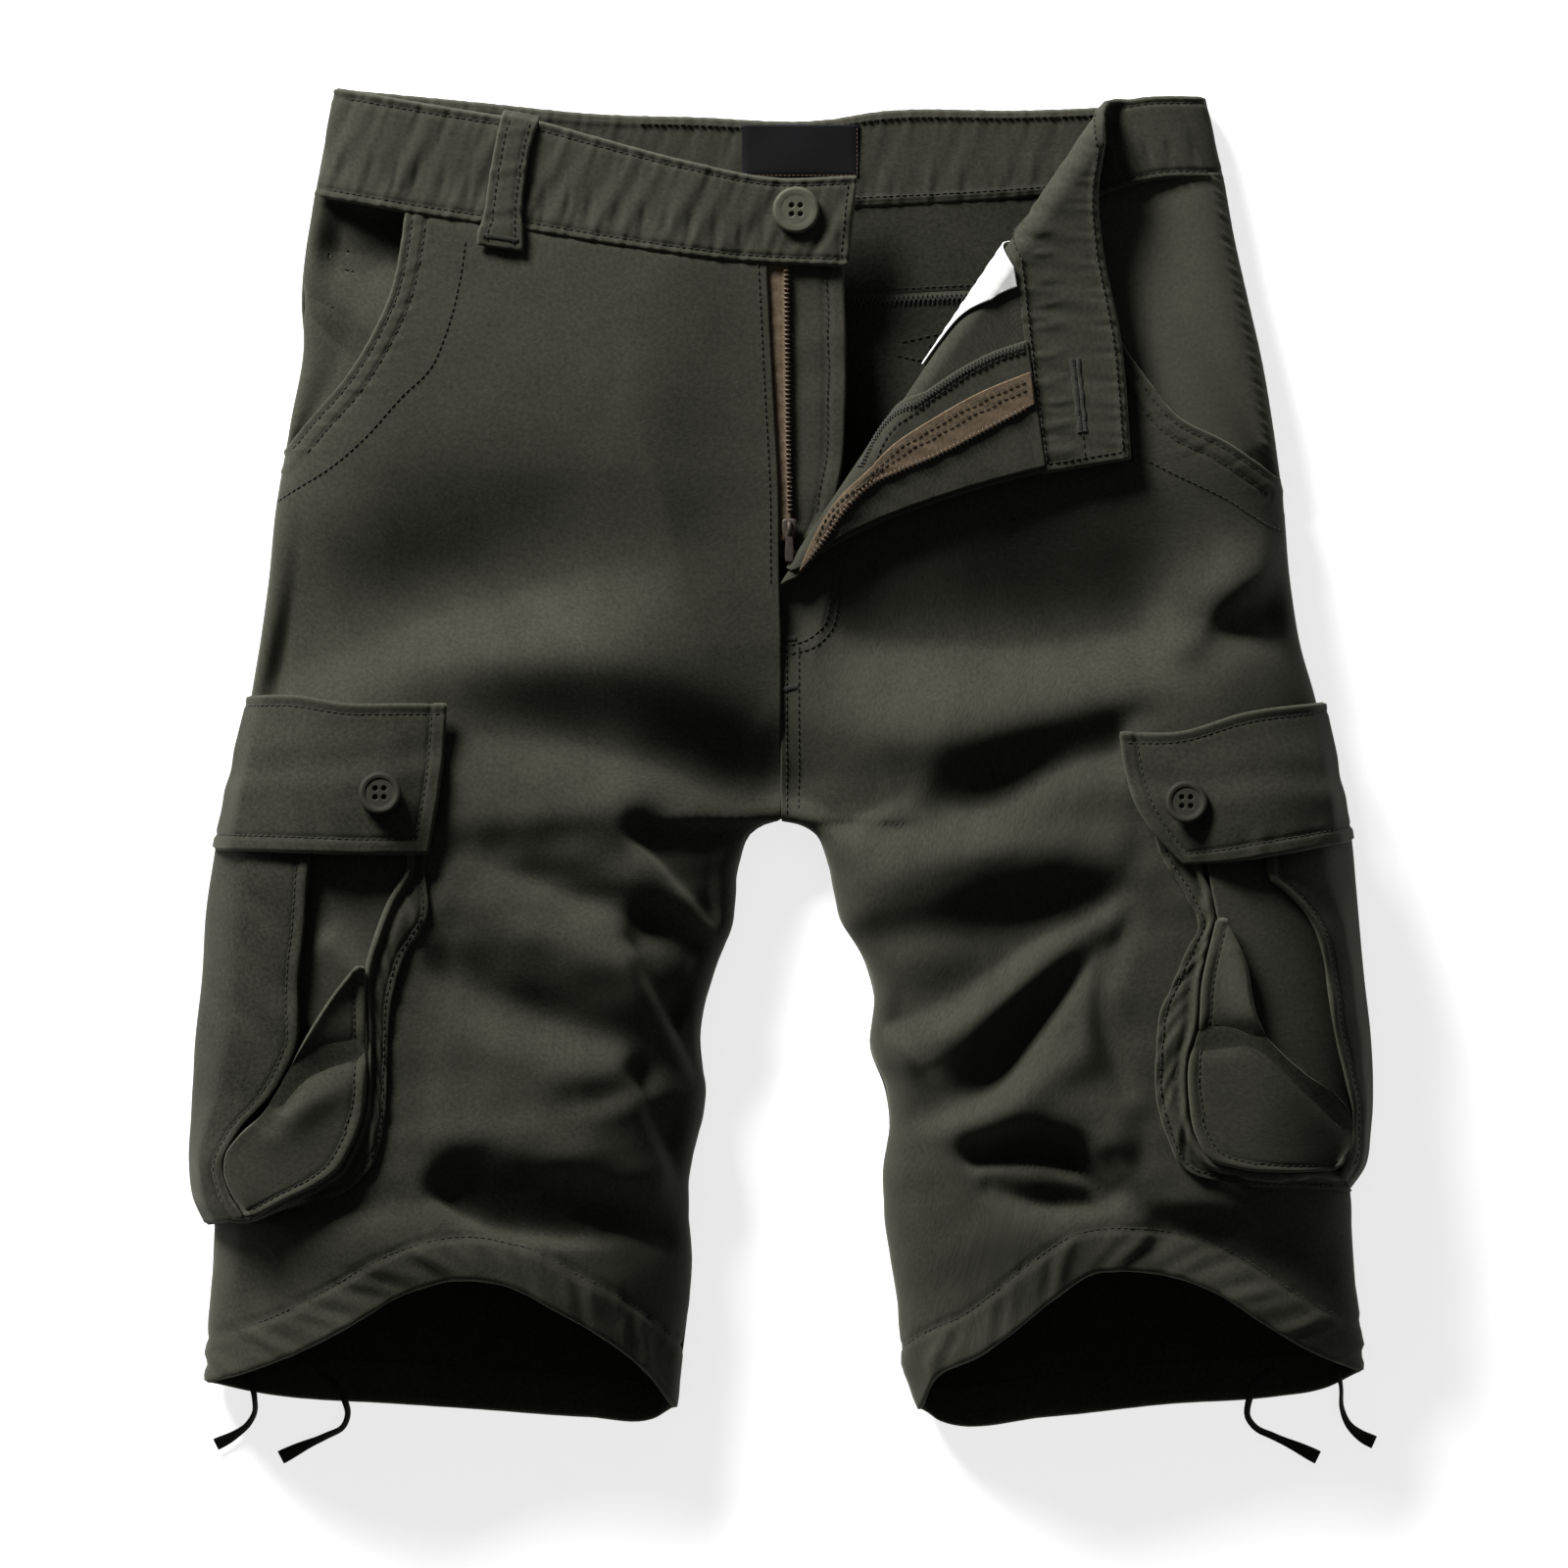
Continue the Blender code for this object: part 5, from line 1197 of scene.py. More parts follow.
def add_facing(side):
    """A facing: the panel's height, sunk more and more towards its hidden edge."""
    top = cut_by_x(smooth(BAND_FOOT[side]), BAND_FOOT[side][0][0], FACING_EDGE[side][0][0])
    top = top + (0, FACING_UP)
    top[0, 0] += FACING_IN if side == "right" else -FACING_IN
    outer = below(SIDE_CURVE[side], top[0, 1])
    outer[0] = top[0]
    outer = outer[outer[:, 1] > MOUTH[side][-1][1] + FACING_TIP]
    down = shares(FACING_ROWS)
    u = 1 - np.cos(np.linspace(0, np.pi / 2, FACING_COLUMNS))
    foot = np.array([outer[-1], FACING_EDGE[side][-1]])
    hidden = smooth(FACING_EDGE[side])
    hidden[0] = top[-1]
    grid = coons(top, foot, outer, hidden, down, u)
    down = down[:, None]
    x, y = grid[..., 0], grid[..., 1]
    near_foot = ease((down - 0.86) / 0.1)
    sink = FACING_SINK * ease(1.5 * u * (1 + down)) + FACING_FOOT_SINK * near_foot
    sink = sink - FACING_SIDE_LIFT * (1 - u) ** 2 * (1 - near_foot)
    deep = ease(down / 0.06) * (1 - ease((down - 0.16) / 0.3)) * ease(u * 4)
    sink = sink + FACING_TOP_SINK[side] * deep
    run, _, gap = beside(SIDE_CURVE[side], x, y)
    relief = creased(FACING_CREASES[side], x, y)
    if side == "left":
        relief = relief + puckers(FACING_PUCKERS, run, gap)
    # Crease hollows darker as painted shade, crests lighter as wear, and the left facing lighter
    # still as painted light.
    cover("pocket_facing_" + side, raised(x, y, front_height(x, y, side) + SEAM_RISE - sink),
          relief, CLOTH, 0.06 * relief + FACING_PAINTED_LIGHT[side], "back_" + side,
          name="facing_" + side + "_shell", lay_base=True)


add_facing("right")
add_facing("left")


# ---- Fly --------------------------------------------------------------------------------
# Right: a shield of doubled twill with one half of the zip on it. Left: an overlocked facing
# behind the front edge that carries the other half, and the white pocket bag beside it.
THIN_CLOTH = 0.9
SHIELD = {"hidden": [(-22, 228), (-20, 160), (-14, 110), (-4, 92)],
          "free": [(27, 228), (28, 200), (28, 160), (26, 130), (19, 106), (4, 91)]}
TAPE_RIGHT = {"hidden": [(-15, 228), (-13, 160), (-10, 120), (-7, 98)],
              "teeth": [(1.5, 228), (2, 180), (2.5, 140), (3, 118), (3.5, 98)]}
FLY_FACING = {"outer": [(61, 223), (62, 206), (61, 193), (58, 177), (52, 155),
                        (35, 129.7), (18.4, 104.8), (8, 90), (4, 84)],
              "centre": [(5, 209), (9, 178), (11, 155), (12, 131), (11, 111), (7, 96),
                         (3, 85)]}
TAPE_LEFT = {"outer": [(47, 219), (47, 195), (44, 170), (39, 146), (30, 128), (22, 114),
                       (11, 98), (3, 87)],
             "teeth": [(33, 215), (30, 187), (28, 165), (28, 148), (27, 132), (20.5, 116),
                       (12, 103), (5, 91)]}
POCKET_BAG = {"outer": [(108, 233), (99, 219), (91, 207), (82, 194), (74, 182), (69, 175)],
              "edge": [(86, 228), (86, 220), (84, 212), (80, 201), (73, 188), (66.5, 177)]}
RIGHT_TAPE_DEPTH = 2.3
SHIELD_DEPTH = 3.9
FACING_DEPTH = 2.4
TAPE_DEPTH = 4.2
BAG_DEPTH = 3.0
RIGHT_GRID, LEFT_GRID = (150, 40), (170, 70)

brown_tape = woven("zip_tape", (0.068, 0.050, 0.033), 0.8, 0.12)
pocketing = woven("pocketing", (0.42, 0.42, 0.41), 0.5, 0.05, mottle=0.2, nap=0.3)


def right_under(depth):
    """The right front's face, sunk by a depth."""
    return lambda x, y: right_face(x, y) - (0, 0, depth)


def left_inside(depth):
    """The left front's inside at a depth under its outer face."""
    return lambda x, y: left_face(x, y, -depth)


def layer_grid(rails, rows, columns):
    """The plan of a layer between its two rails, and the shares down and across it."""
    down, across = shares(rows), shares(columns)
    grid = between(*rails.values(), down, across)
    return grid[..., 0], grid[..., 1], down[:, None], across[None]


def add_right_layer(name, rails, depth, wall, material, slot, relief):
    """A layer under the right front's edge, its relief a function of its two shares."""
    x, y, v, u = layer_grid(rails, *RIGHT_GRID)
    rise = relief(v, u)
    # Colour lighter where the relief rises (wear) and darker where it sinks (painted shade).
    cover(name, right_under(depth)(x, y), rise, wall, 0.1 * rise, "back_right", slot=slot,
          material=material, lay_base=True)


add_right_layer("zip_tape_right", TAPE_RIGHT, RIGHT_TAPE_DEPTH, THIN_CLOTH, brown_tape,
                "zip_tape", lambda v, u: 0.15 * uneven(v * 130, 9) + 0.5 * ease((u - 0.86) * 12))
add_right_layer("fly_shield", SHIELD, SHIELD_DEPTH, CLOTH, twill, "olive_twill",
                lambda v, u: 0.5 * uneven(v * 130 + 8 * u, 31) * u
                - 0.5 * bell((1 - u) * 45 - 8, 0.9) + 0.5 * ease((u - 0.86) * 20))

for name, rails, depth, material, slot, relief in (
        ("fly_facing", FLY_FACING, FACING_DEPTH, twill, "olive_twill", 0.35),
        ("zip_tape_left", TAPE_LEFT, TAPE_DEPTH, brown_tape, "zip_tape", 0.2),
        ("pocket_bag", POCKET_BAG, BAG_DEPTH, pocketing, "pocketing", 0.2)):
    x, y, v, u = layer_grid(rails, *LEFT_GRID)
    rise = relief * uneven(v * 150 + 22 * u, 17, depth) * np.sin(np.pi * u) ** 0.5
    rise = rise * ease((1 - v) / 0.2)
    # Colour lighter where the relief rises (wear) and darker where it sinks (painted shade).
    cover(name, left_inside(depth)(x, y), THIN_CLOTH + rise, 0, 0.12 * rise, "front_left",
          slot=slot, material=material, lay_base=True)


def zigzag(face, path, width, pitch, step=0.3, up=1, lift=0.2):
    """Overlock loops along a path: at each pitch one thread slants each way across it."""
    points, normals = framed(face, path[:, 0], path[:, 1], step, up)
    middle, forward, normal = spaced(points + lift * normals, normals, pitch)
    side = np.cross(normal, forward)
    slope = np.stack([side * width + forward * pitch * s for s in (1, -1)])
    return [np.concatenate([middle, middle + forward * pitch / 2]),
            slope.reshape(-1, 3), np.concatenate([normal, normal])]


OVERLOCK_WIDTH = 4.2
SHIELD_ROW = 8
SEAM_CLEAR = 0.3
YOKE_ALLOWANCE = 3.0
YOKE_STITCH = 5.5
BACK_MARKS = ([(52, 184), (66, 183), (68, 190)], [(54, 190), (72, 194)])

facing_back = left_inside(FACING_DEPTH + THIN_CLOTH + SEAM_CLEAR)
overlock_edge = along(smooth(FLY_FACING["outer"][:6]), np.linspace(0.02, 0.98, 200))
inner_row = offset(overlock_edge, -OVERLOCK_WIDTH)
serging_thread = thread_material("serging_thread", (0.026, 0.026, 0.021))
spindles("overlock_facing", [zigzag(facing_back, (overlock_edge + inner_row) / 2, 3.6, 1.7,
                                    up=-1)], serging_thread, 4.0, 0.34)
fly_rows = [stitched(facing_back, inner_row, up=-1)]
tape_back = left_inside(TAPE_DEPTH + THIN_CLOTH + SEAM_CLEAR)
tape_rows = between(TAPE_LEFT["outer"], TAPE_LEFT["teeth"], np.linspace(0.02, 0.9, 100),
                    [0.18, 0.42])
fly_rows += [stitched(tape_back, tape_rows[:, row], up=-1) for row in (0, 1)]
shield_row = smooth(SHIELD["free"])[:-18] - (SHIELD_ROW, 0)
fly_rows.append(stitched(right_under(SHIELD_DEPTH - 0.2), shield_row))
sew("stitching_fly", fly_rows)


def back_inside(side):
    """The inside of a back piece with its relief."""
    return lambda x, y: raised(x, y, back_height(x, y, side) + CLOTH
                               + back_relief(x, y, side))


back_rows, back_stitches = [], []
for side, sign in (("right", -1), ("left", 1)):
    face = back_inside(side)
    seam = cut_by_x(smooth(YOKE_SEAM), sign * 150 + 3, sign * 1.5 + 3) - (0, YOKE_ALLOWANCE)
    seam = along(seam, np.linspace(0, 1, 100))
    back_rows.append(zigzag(face, seam, 4.6, 2.2, lift=0.25))
    back_stitches.append(stitched(face, seam + (0, YOKE_STITCH)))
    casing_row = offset(smooth(BACK_HEM[side]), -sign * (CASING - 1.5))
    back_stitches.append(stitched(face, casing_row[8:-8]))
centre_run = np.stack([np.full(120, BACK_SEAM_X + 2), np.linspace(208, 20, 120)], -1)
back_rows.append(zigzag(back_inside("left"), centre_run, 4.6, 2.2, lift=0.25))
spindles("overlock_back", back_rows, serging_thread, 5.0, 0.34)
back_stitches += [stitched(back_inside("left"), smooth(row)) for row in BACK_MARKS]
sew("stitching_back", back_stitches)
sew("stitching_band_inside", [stitched(back_band_inside, [(0.35, w), (0.97, w)], BAND_STEP, -1)
                              for w in (edge_v, 1 - edge_v * 1.4)])


# ---- Zip --------------------------------------------------------------------------------
# A brass zip: teeth clamped on the two tapes' edges, and a slider with a bridge from which
# the pull tab hangs.
TOOTH = {"pitch": 2.1, "length": 3.0, "radius": 0.58, "arch": 0.15}
TOOTH_RISE = {"left": 0.7, "right": 0.9}
SLIDER = (2.9, 103.0)
SLIDER_SIZE = (6.8, 10.4, 2.4)
PULL_SIZE = (4.0, 15.0, 1.3)
PULL_HINGE_Y = 102.0
PULL_GAP = 0.4
BAR_AROUND, BRIDGE_AROUND = 32, 12
SLIDER_RINGS, BRIDGE_RINGS, PULL_RINGS = 25, 21, 33
# The bridge's half length, foot and rise over the slider, and half width and thickness.
BRIDGE = {"reach": 3.4, "foot": 1.0, "rise": 2.3, "wide": 1.0, "thick": 0.55}


def metal(name, colour, roughness):
    """Cast metal, darkened in blotches that also roughen it."""
    material, tree, shader = new_material(name, Metallic=0.85, Specular_IOR_Level=0.5)
    place = add_node(tree, "ShaderNodeTexCoord").outputs["Object"]
    blotch = add_node(tree, "ShaderNodeTexNoise", {"Vector": place, "Scale": 420.0,
                                                   "Detail": 4.0}).outputs["Fac"]
    shade = math(tree, "MULTIPLY_ADD", blotch, 0.9, 0.55)
    tree.links.new(shaded(tree, colour, shade), shader.inputs["Base Color"])
    rough = math(tree, "MULTIPLY_ADD", blotch, 0.25, roughness)
    tree.links.new(rough, shader.inputs["Roughness"])
    return material


dark_brass = metal("dark_brass", (0.05, 0.04, 0.032), 0.5)
brown_teeth = metal("zip_teeth", (0.075, 0.056, 0.041), 0.5)
teeth_rows = []
left_teeth = left_inside(TAPE_DEPTH + THIN_CLOTH + TOOTH_RISE["left"])
right_teeth = right_under(RIGHT_TAPE_DEPTH - TOOTH_RISE["right"])
for face, rail, up, first, last in ((left_teeth, TAPE_LEFT["teeth"], -1, 0.03, 0.985),
                                    (right_teeth, TAPE_RIGHT["teeth"], 1, 0.02, 0.9)):
    line = along(smooth(rail), np.linspace(first, last, 200))
    teeth_rows.append(bars(face, line, up=up, pitch=TOOTH["pitch"], lift=0))
spindles("zip_teeth", teeth_rows, brown_teeth, TOOTH["length"], TOOTH["radius"],
         TOOTH["arch"])


def rounded_bar(stations, halves, thick, power=0.5):
    """Rings of a bar: at each station a superellipse of half width and thickness."""
    turn = np.linspace(0, 2 * np.pi, BAR_AROUND, endpoint=False)
    c = np.sign(np.cos(turn)) * np.abs(np.cos(turn)) ** power
    s = np.sign(np.sin(turn)) * np.abs(np.sin(turn)) ** power
    stations, halves, thick = (np.asarray(v, float)[:, None] for v in (stations, halves, thick))
    return np.stack(np.broadcast_arrays(halves * c, stations, thick * s), -1)


slider_z = float(loft("inner", SLIDER[1])) - CLOTH + SLIDER_SIZE[2] / 2
t = np.linspace(-1, 1, SLIDER_RINGS)
wide, tall, thick = np.array(SLIDER_SIZE) / 2
taper = (0.72 + 0.28 * ease((t + 1) / 1.1)) * (1 - 0.75 * np.abs(t) ** 14)
rings = rounded_bar(t * tall, wide * taper, thick * (1 - 0.5 * np.abs(t) ** 10))
arc = np.linspace(0, np.pi, BRIDGE_RINGS)
bridge_line = raised(np.zeros(BRIDGE_RINGS), BRIDGE["reach"] * np.cos(arc),
                     BRIDGE["foot"] + BRIDGE["rise"] * np.sin(arc) ** 0.7)
turn = np.linspace(0, 2 * np.pi, BRIDGE_AROUND, endpoint=False)[None, :, None]
across = np.array([1.0, 0, 0])
bridge_up = np.cross(across, unit(np.gradient(bridge_line, axis=0)))[:, None]
bridge = (bridge_line[:, None] + BRIDGE["wide"] * np.cos(turn) * across
          + BRIDGE["thick"] * np.sin(turn) * bridge_up)
slider_points = np.concatenate([rings.reshape(-1, 3), bridge.reshape(-1, 3)])
slider_faces = (tube_faces(SLIDER_RINGS, BAR_AROUND)
                + tube_faces(BRIDGE_RINGS, BRIDGE_AROUND, SLIDER_RINGS * BAR_AROUND))
slider = add_piece("zip_slider_body", slider_points + (*SLIDER, slider_z), slider_faces,
                   dark_brass)
settle(slider, "dark_brass", "zip_slider")

wide, tall, thick = PULL_SIZE[0] / 2, PULL_SIZE[1], PULL_SIZE[2] / 2
t = np.linspace(0, 1, PULL_RINGS)
from_middle = 2 * np.abs(t - 0.5)
half_wide = wide * (0.78 + 0.22 * ease(t * 1.4)) * np.sqrt(
    np.clip(1 - from_middle**12, 0.02, 1))
half_thick = thick * np.sqrt(np.clip(1 - from_middle**20, 0.1, 1))
rings = rounded_bar(thick - t * tall, half_wide, half_thick, 0.35)
pull_place = (SLIDER[0], PULL_HINGE_Y, slider_z + SLIDER_SIZE[2] / 2 + PULL_GAP + thick)
pull = add_piece("zip_pull_tab", (rings + pull_place).reshape(-1, 3),
                 tube_faces(PULL_RINGS, BAR_AROUND), dark_brass)
settle(pull, "dark_brass", "zip_pull", body="pull_tab")


# ---- Buttonhole -------------------------------------------------------------------------
# Two lips of close bars round a slit along the turned-back end of the left band. The seam
# that runs from it to the band's end is sewn with the band's rows.
HOLE = ((0.77, 0.50), (0.93, 0.50))
LIP_SHIFT = 0.03
LIP_BARS = {"pitch": 0.55, "lift": 0.25, "length": 2.4, "radius": 0.32}
SLIT = {"pitch": 1.2, "lift": 0.3, "length": 1.6, "radius": 0.35}

twill_thread = thread_material("twill_thread", (0.028, 0.028, 0.022))
# The slit is a row of near-black threads: painted shadow in the cut.
dark_slit = thread_material("slit_shadow", (0.004, 0.004, 0.003))


def lip(shift):
    """Bars across one lip of the buttonhole, a shift to one side of the slit."""
    line = np.linspace(*HOLE, 40)
    line[:, 1] += shift * (1 + 0.3 * uneven(np.arange(40), 9, shift))
    return bars(left_band_inside, line, BAND_STEP, -1, LIP_BARS["pitch"], LIP_BARS["lift"])


spindles("buttonhole_lips", [lip(LIP_SHIFT), lip(-LIP_SHIFT)], twill_thread,
         LIP_BARS["length"], LIP_BARS["radius"])
points, normals = framed(left_band_inside, *np.linspace(*HOLE, 30).T, BAND_STEP, -1)
spindles("buttonhole_slit", [spaced(points + SLIT["lift"] * normals, normals, SLIT["pitch"])],
         dark_slit, SLIT["length"], SLIT["radius"])


# ---- Blank patch ------------------------------------------------------------------------
# A blank square of black satin tape on the inside of the back band, its lower and right
# edges caught by a brown thread.
PATCH = {"left": -19, "right": 35, "foot": 266, "top": 290}
PATCH_LEVEL = 4.3
PATCH_THICK = 0.8
PATCH_ROW = 0.9

patch_black = woven("blank_patch", (0.0026, 0.0026, 0.0028), 0.45, 0.06, roughness=0.7,
                    sheen=0.0, turn=0.0)
x, y = np.meshgrid(np.linspace(PATCH["left"], PATCH["right"], 80),
                   np.linspace(PATCH["top"], PATCH["foot"], 40))
lump = 0.35 * np.sin(x / 9 + 1) * np.sin(y / 7) + 0.3 * bell(x - 8, 10)
edge_in = np.minimum(np.minimum(x - PATCH["left"], PATCH["right"] - x), y - PATCH["foot"])
patch_top = raised(x, y, PATCH_LEVEL + lump - 0.5 * bell(edge_in, 1.2))
patch_low = raised(x, y, 0 * x + PATCH_LEVEL - PATCH_THICK)
patch_piece = slab("blank_patch_tape", patch_top, patch_low, 0 * x, patch_black)
settle(patch_piece, "blank_patch", "blank_patch")

brown_thread = thread_material("brown_thread", (0.06, 0.036, 0.02))
right_row, foot_row = PATCH["right"] - PATCH_ROW, PATCH["foot"] + PATCH_ROW
patch_row = [(right_row, PATCH["top"] - 1), (right_row, foot_row), (PATCH["left"] + 1, foot_row)]
spindles("stitching_patch", [stitched(lambda a, b: raised(a, b, 0 * a + PATCH_LEVEL + 0.1),
                                      patch_row, pitch=2.0)], brown_thread, 1.5, 0.22)


# ---- Cargo pockets ----------------------------------------------------------------------
# On each leg a bellows pocket of twill: a rear and a front face that gape over a folded
# pleat, a gusset between the face and the leg, and a doubled flap with a button.
FLAP_CLOTH = 2.6
CARGO = {
    "right": {
        "silhouette": [(-247, 28), (-253, 6), (-259, -25), (-262, -45), (-266, -72),
                       (-268, -104), (-271, -131), (-273, -167), (-274, -189),
                       (-272, -205), (-267, -216)],
        "rear_front": [(-217, -18), (-217, -46), (-218, -59), (-219.5, -81), (-222, -104),
                       (-222, -120), (-222, -130), (-231, -151), (-251, -175),
                       (-257, -189), (-254, -202), (-247, -212)],
        "front_rear": [(-194, -98), (-202, -107), (-211, -120), (-220, -135), (-229, -151),
                       (-238, -165), (-249, -176), (-254, -183), (-255, -191),
                       (-251, -202), (-244, -211)],
        "front_seam": [(-191.5, -98), (-191, -126), (-191, -149), (-193, -167),
                       (-198, -180), (-204, -190), (-212, -196), (-228, -204),
                       (-243, -212.5)],
        "gusset_face": [(-176, -30), (-171, -52), (-180, -68), (-186, -84), (-190, -98),
                        (-189.4, -126), (-189.4, -149), (-191.4, -167), (-196.4, -181),
                        (-203, -191.5), (-212, -197.6), (-228, -205.6), (-243, -213),
                        (-256, -213)],
        "gusset_leg": [(-161, -30), (-164, -52), (-163, -75), (-173, -92), (-179, -112),
                       (-181, -140), (-182, -165), (-186, -184), (-200, -200),
                       (-224, -206), (-246, -214), (-265, -217)],
        "pleat_rear": [(-226, -20), (-227, -60), (-228, -100), (-228, -126)],
        "pleat_front": [(-172, -20), (-173, -58), (-186, -92), (-205, -124)],
        "flap_top": [(-247, 26), (-225, 26), (-198, 22), (-180, 22), (-155, 22)],
        "flap_foot": [(-262, -43), (-225, -44), (-193, -45), (-163, -45)],
        "button": (-184, -18),
    },
    "left": {
        "silhouette": [(251, 26), (255, 4), (260, -25), (262.5, -42), (264, -59),
                       (268, -104), (271, -131), (272, -153), (271, -176), (268.5, -190),
                       (262, -200)],
        "rear_front": [(221, -18), (222, -46), (223, -57), (230, -63), (241, -75),
                       (248, -93), (250, -108), (254, -131), (258.5, -149),
                       (262.3, -166), (260.5, -182), (256, -193)],
        "front_rear": [(201.5, -76), (210, -95), (216, -122), (221, -130), (238, -146),
                       (254, -157), (261, -166), (259, -180), (254, -188)],
        "front_seam": [(198.5, -76), (196, -86), (192, -104), (190, -126), (186, -140),
                       (186, -158), (189, -174), (196, -185), (208, -189), (230, -191),
                       (252, -190.5)],
        "gusset_face": [(180, -30), (190, -52), (197, -76), (194.4, -86), (190.4, -104),
                        (188.4, -126), (184.4, -140), (184.4, -158), (187.4, -175),
                        (195, -186.8), (208, -190.7), (230, -192.7), (248, -192.2),
                        (258, -193.5)],
        "gusset_leg": [(168, -28), (173, -46), (185, -66), (190, -79), (186, -87),
                       (178, -106), (173, -117), (171, -134), (171, -158), (175, -173),
                       (183, -189), (206, -197), (248, -200), (262, -201.5)],
        "pleat_rear": [(232, -20), (234, -58), (252, -84), (258, -112), (262, -140),
                       (266, -166), (266, -184)],
        "pleat_front": [(190, -20), (196, -60), (204, -95), (214, -128), (236, -158),
                        (250, -184)],
        "flap_top": [(250, 23), (212, 18), (180, 9), (155, 9)],
        "flap_foot": [(262, -39), (221, -46), (200, -49), (183, -50)],
        "button": (184, -22),
    },
}
CARGO_REACH = 58
FACE_LIFT = 9.0
REAR_LIP = 1.8
REAR_TOP_TUCK = 3.5
FRONT_LIP = 4.0
PLEAT_LIFT = {"right": 3.4, "left": 7.0}
GUSSET_TUCK = 3.0
GUSSET_LEG_LIFT = 1.3
FLAP_TOP_LIFT = 6.5
FLAP_FOOT_LIFT = 15.5
FLAP_END_DROP = 0.5
FLAP_SIDE_DROP = 0.6
# Painted shade over the whole of each flap, whose face is turned to the light.
FLAP_SHADE = 0.3
FLAP_STITCH = 6
FLAP_TOP_STITCH = 3.6
# The grids' rows and columns, and how far in from its edge a piece is stitched.
POCKET_GRID = {"rear": (150, 60), "front": (150, 60), "gusset": (180, 30),
               "pleat": (110, 50), "flap": (70, 120)}
FACE_STITCH = 5
GUSSET_STITCH = 2.4
# Run along the gusset and across the flap, for their puckers.
GUSSET_RUN = 200
FLAP_RUN = 105
PLEAT_CREASES = [([(-206, -88), (-194, -100)], 3.0, 6, 6, 1, 1)]
# Painted shade over the whole of each rear pocket face, most on the right one, which faces the
# light.
REAR_SHADE = {"right": 0.45, "left": 0.1}
FLAP_END_BULGE = {"right": (1.5, 0.0), "left": (-6.0, -4.0)}
SILHOUETTE = {side: smooth(CARGO[side]["silhouette"]) for side in CARGO}
POCKET_CREASES = {
    "right": [([(-195, -137), (-209, -141), (-220, -147), (-228, -158)], -3.5, 3, 6, 0.8, 0.8),
              ([(-197, -150), (-214, -158), (-232, -172)], 2.5, 6, 5, 0.5, 0.5),
              ([(-264, -150), (-246, -158), (-236, -168)], -2.5, 6, 4, 0.5, 0.6)],
    "left": [([(192, -131), (212, -130), (221, -133), (239, -149), (262, -172)], -3.5, 5, 4,
              0.9, 0.6),
             ([(205, -92), (208, -110), (214, -126)], 2.5, 5, 5, 0.7, 0.7)],
}


def pocket_height(x, y, side):
    """Height of a smooth skin over the leg that rounds down at the pocket's silhouette."""
    toward = 1 if side == "right" else -1
    inside = np.maximum(toward * (x - x_at(SILHOUETTE[side], y)), 0)
    crown, seam = loft("crown", y), loft("seam", y)
    return seam + (crown - seam) * quarter_round(inside, CARGO_REACH)


def pocket_face(grid, side, lift):
    """A pocket's plan grid as points on its skin, with a lift."""
    x, y = grid[..., 0], grid[..., 1]
    return raised(x, y, pocket_height(x, y, side) + SEAM_RISE + lift)


def flap_lift(v):
    """A flap's lift over the leg at shares v from its top to its foot."""
    return FLAP_TOP_LIFT + (FLAP_FOOT_LIFT - FLAP_TOP_LIFT) * ease(v * 1.3)


def add_cloth(part, side, base, relief, wall=CLOTH, shade=0.0):
    """A pocket piece over its front. Its colour is lighter where its relief rises (wear)
    and darker where it sinks (painted shade), and shade is painted shade over the whole piece.
    """
    return cover("cargo_" + part + "_" + side, base, relief, wall, 0.16 * relief - shade,
                 "front_" + side)


def seam_ridge(distance):
    """A sewn edge: a ridge beside it, and the groove of its stitch."""
    return ridge(distance, 1.5, 0.7, 1.4) + ridge(distance, FACE_STITCH, -0.5, 0.8)


def seam_row(points, normals):
    """A row of stitches along points that lie on the cloth."""
    return spaced(points + STITCH_LIFT * normals, normals, STITCH["pitch"])


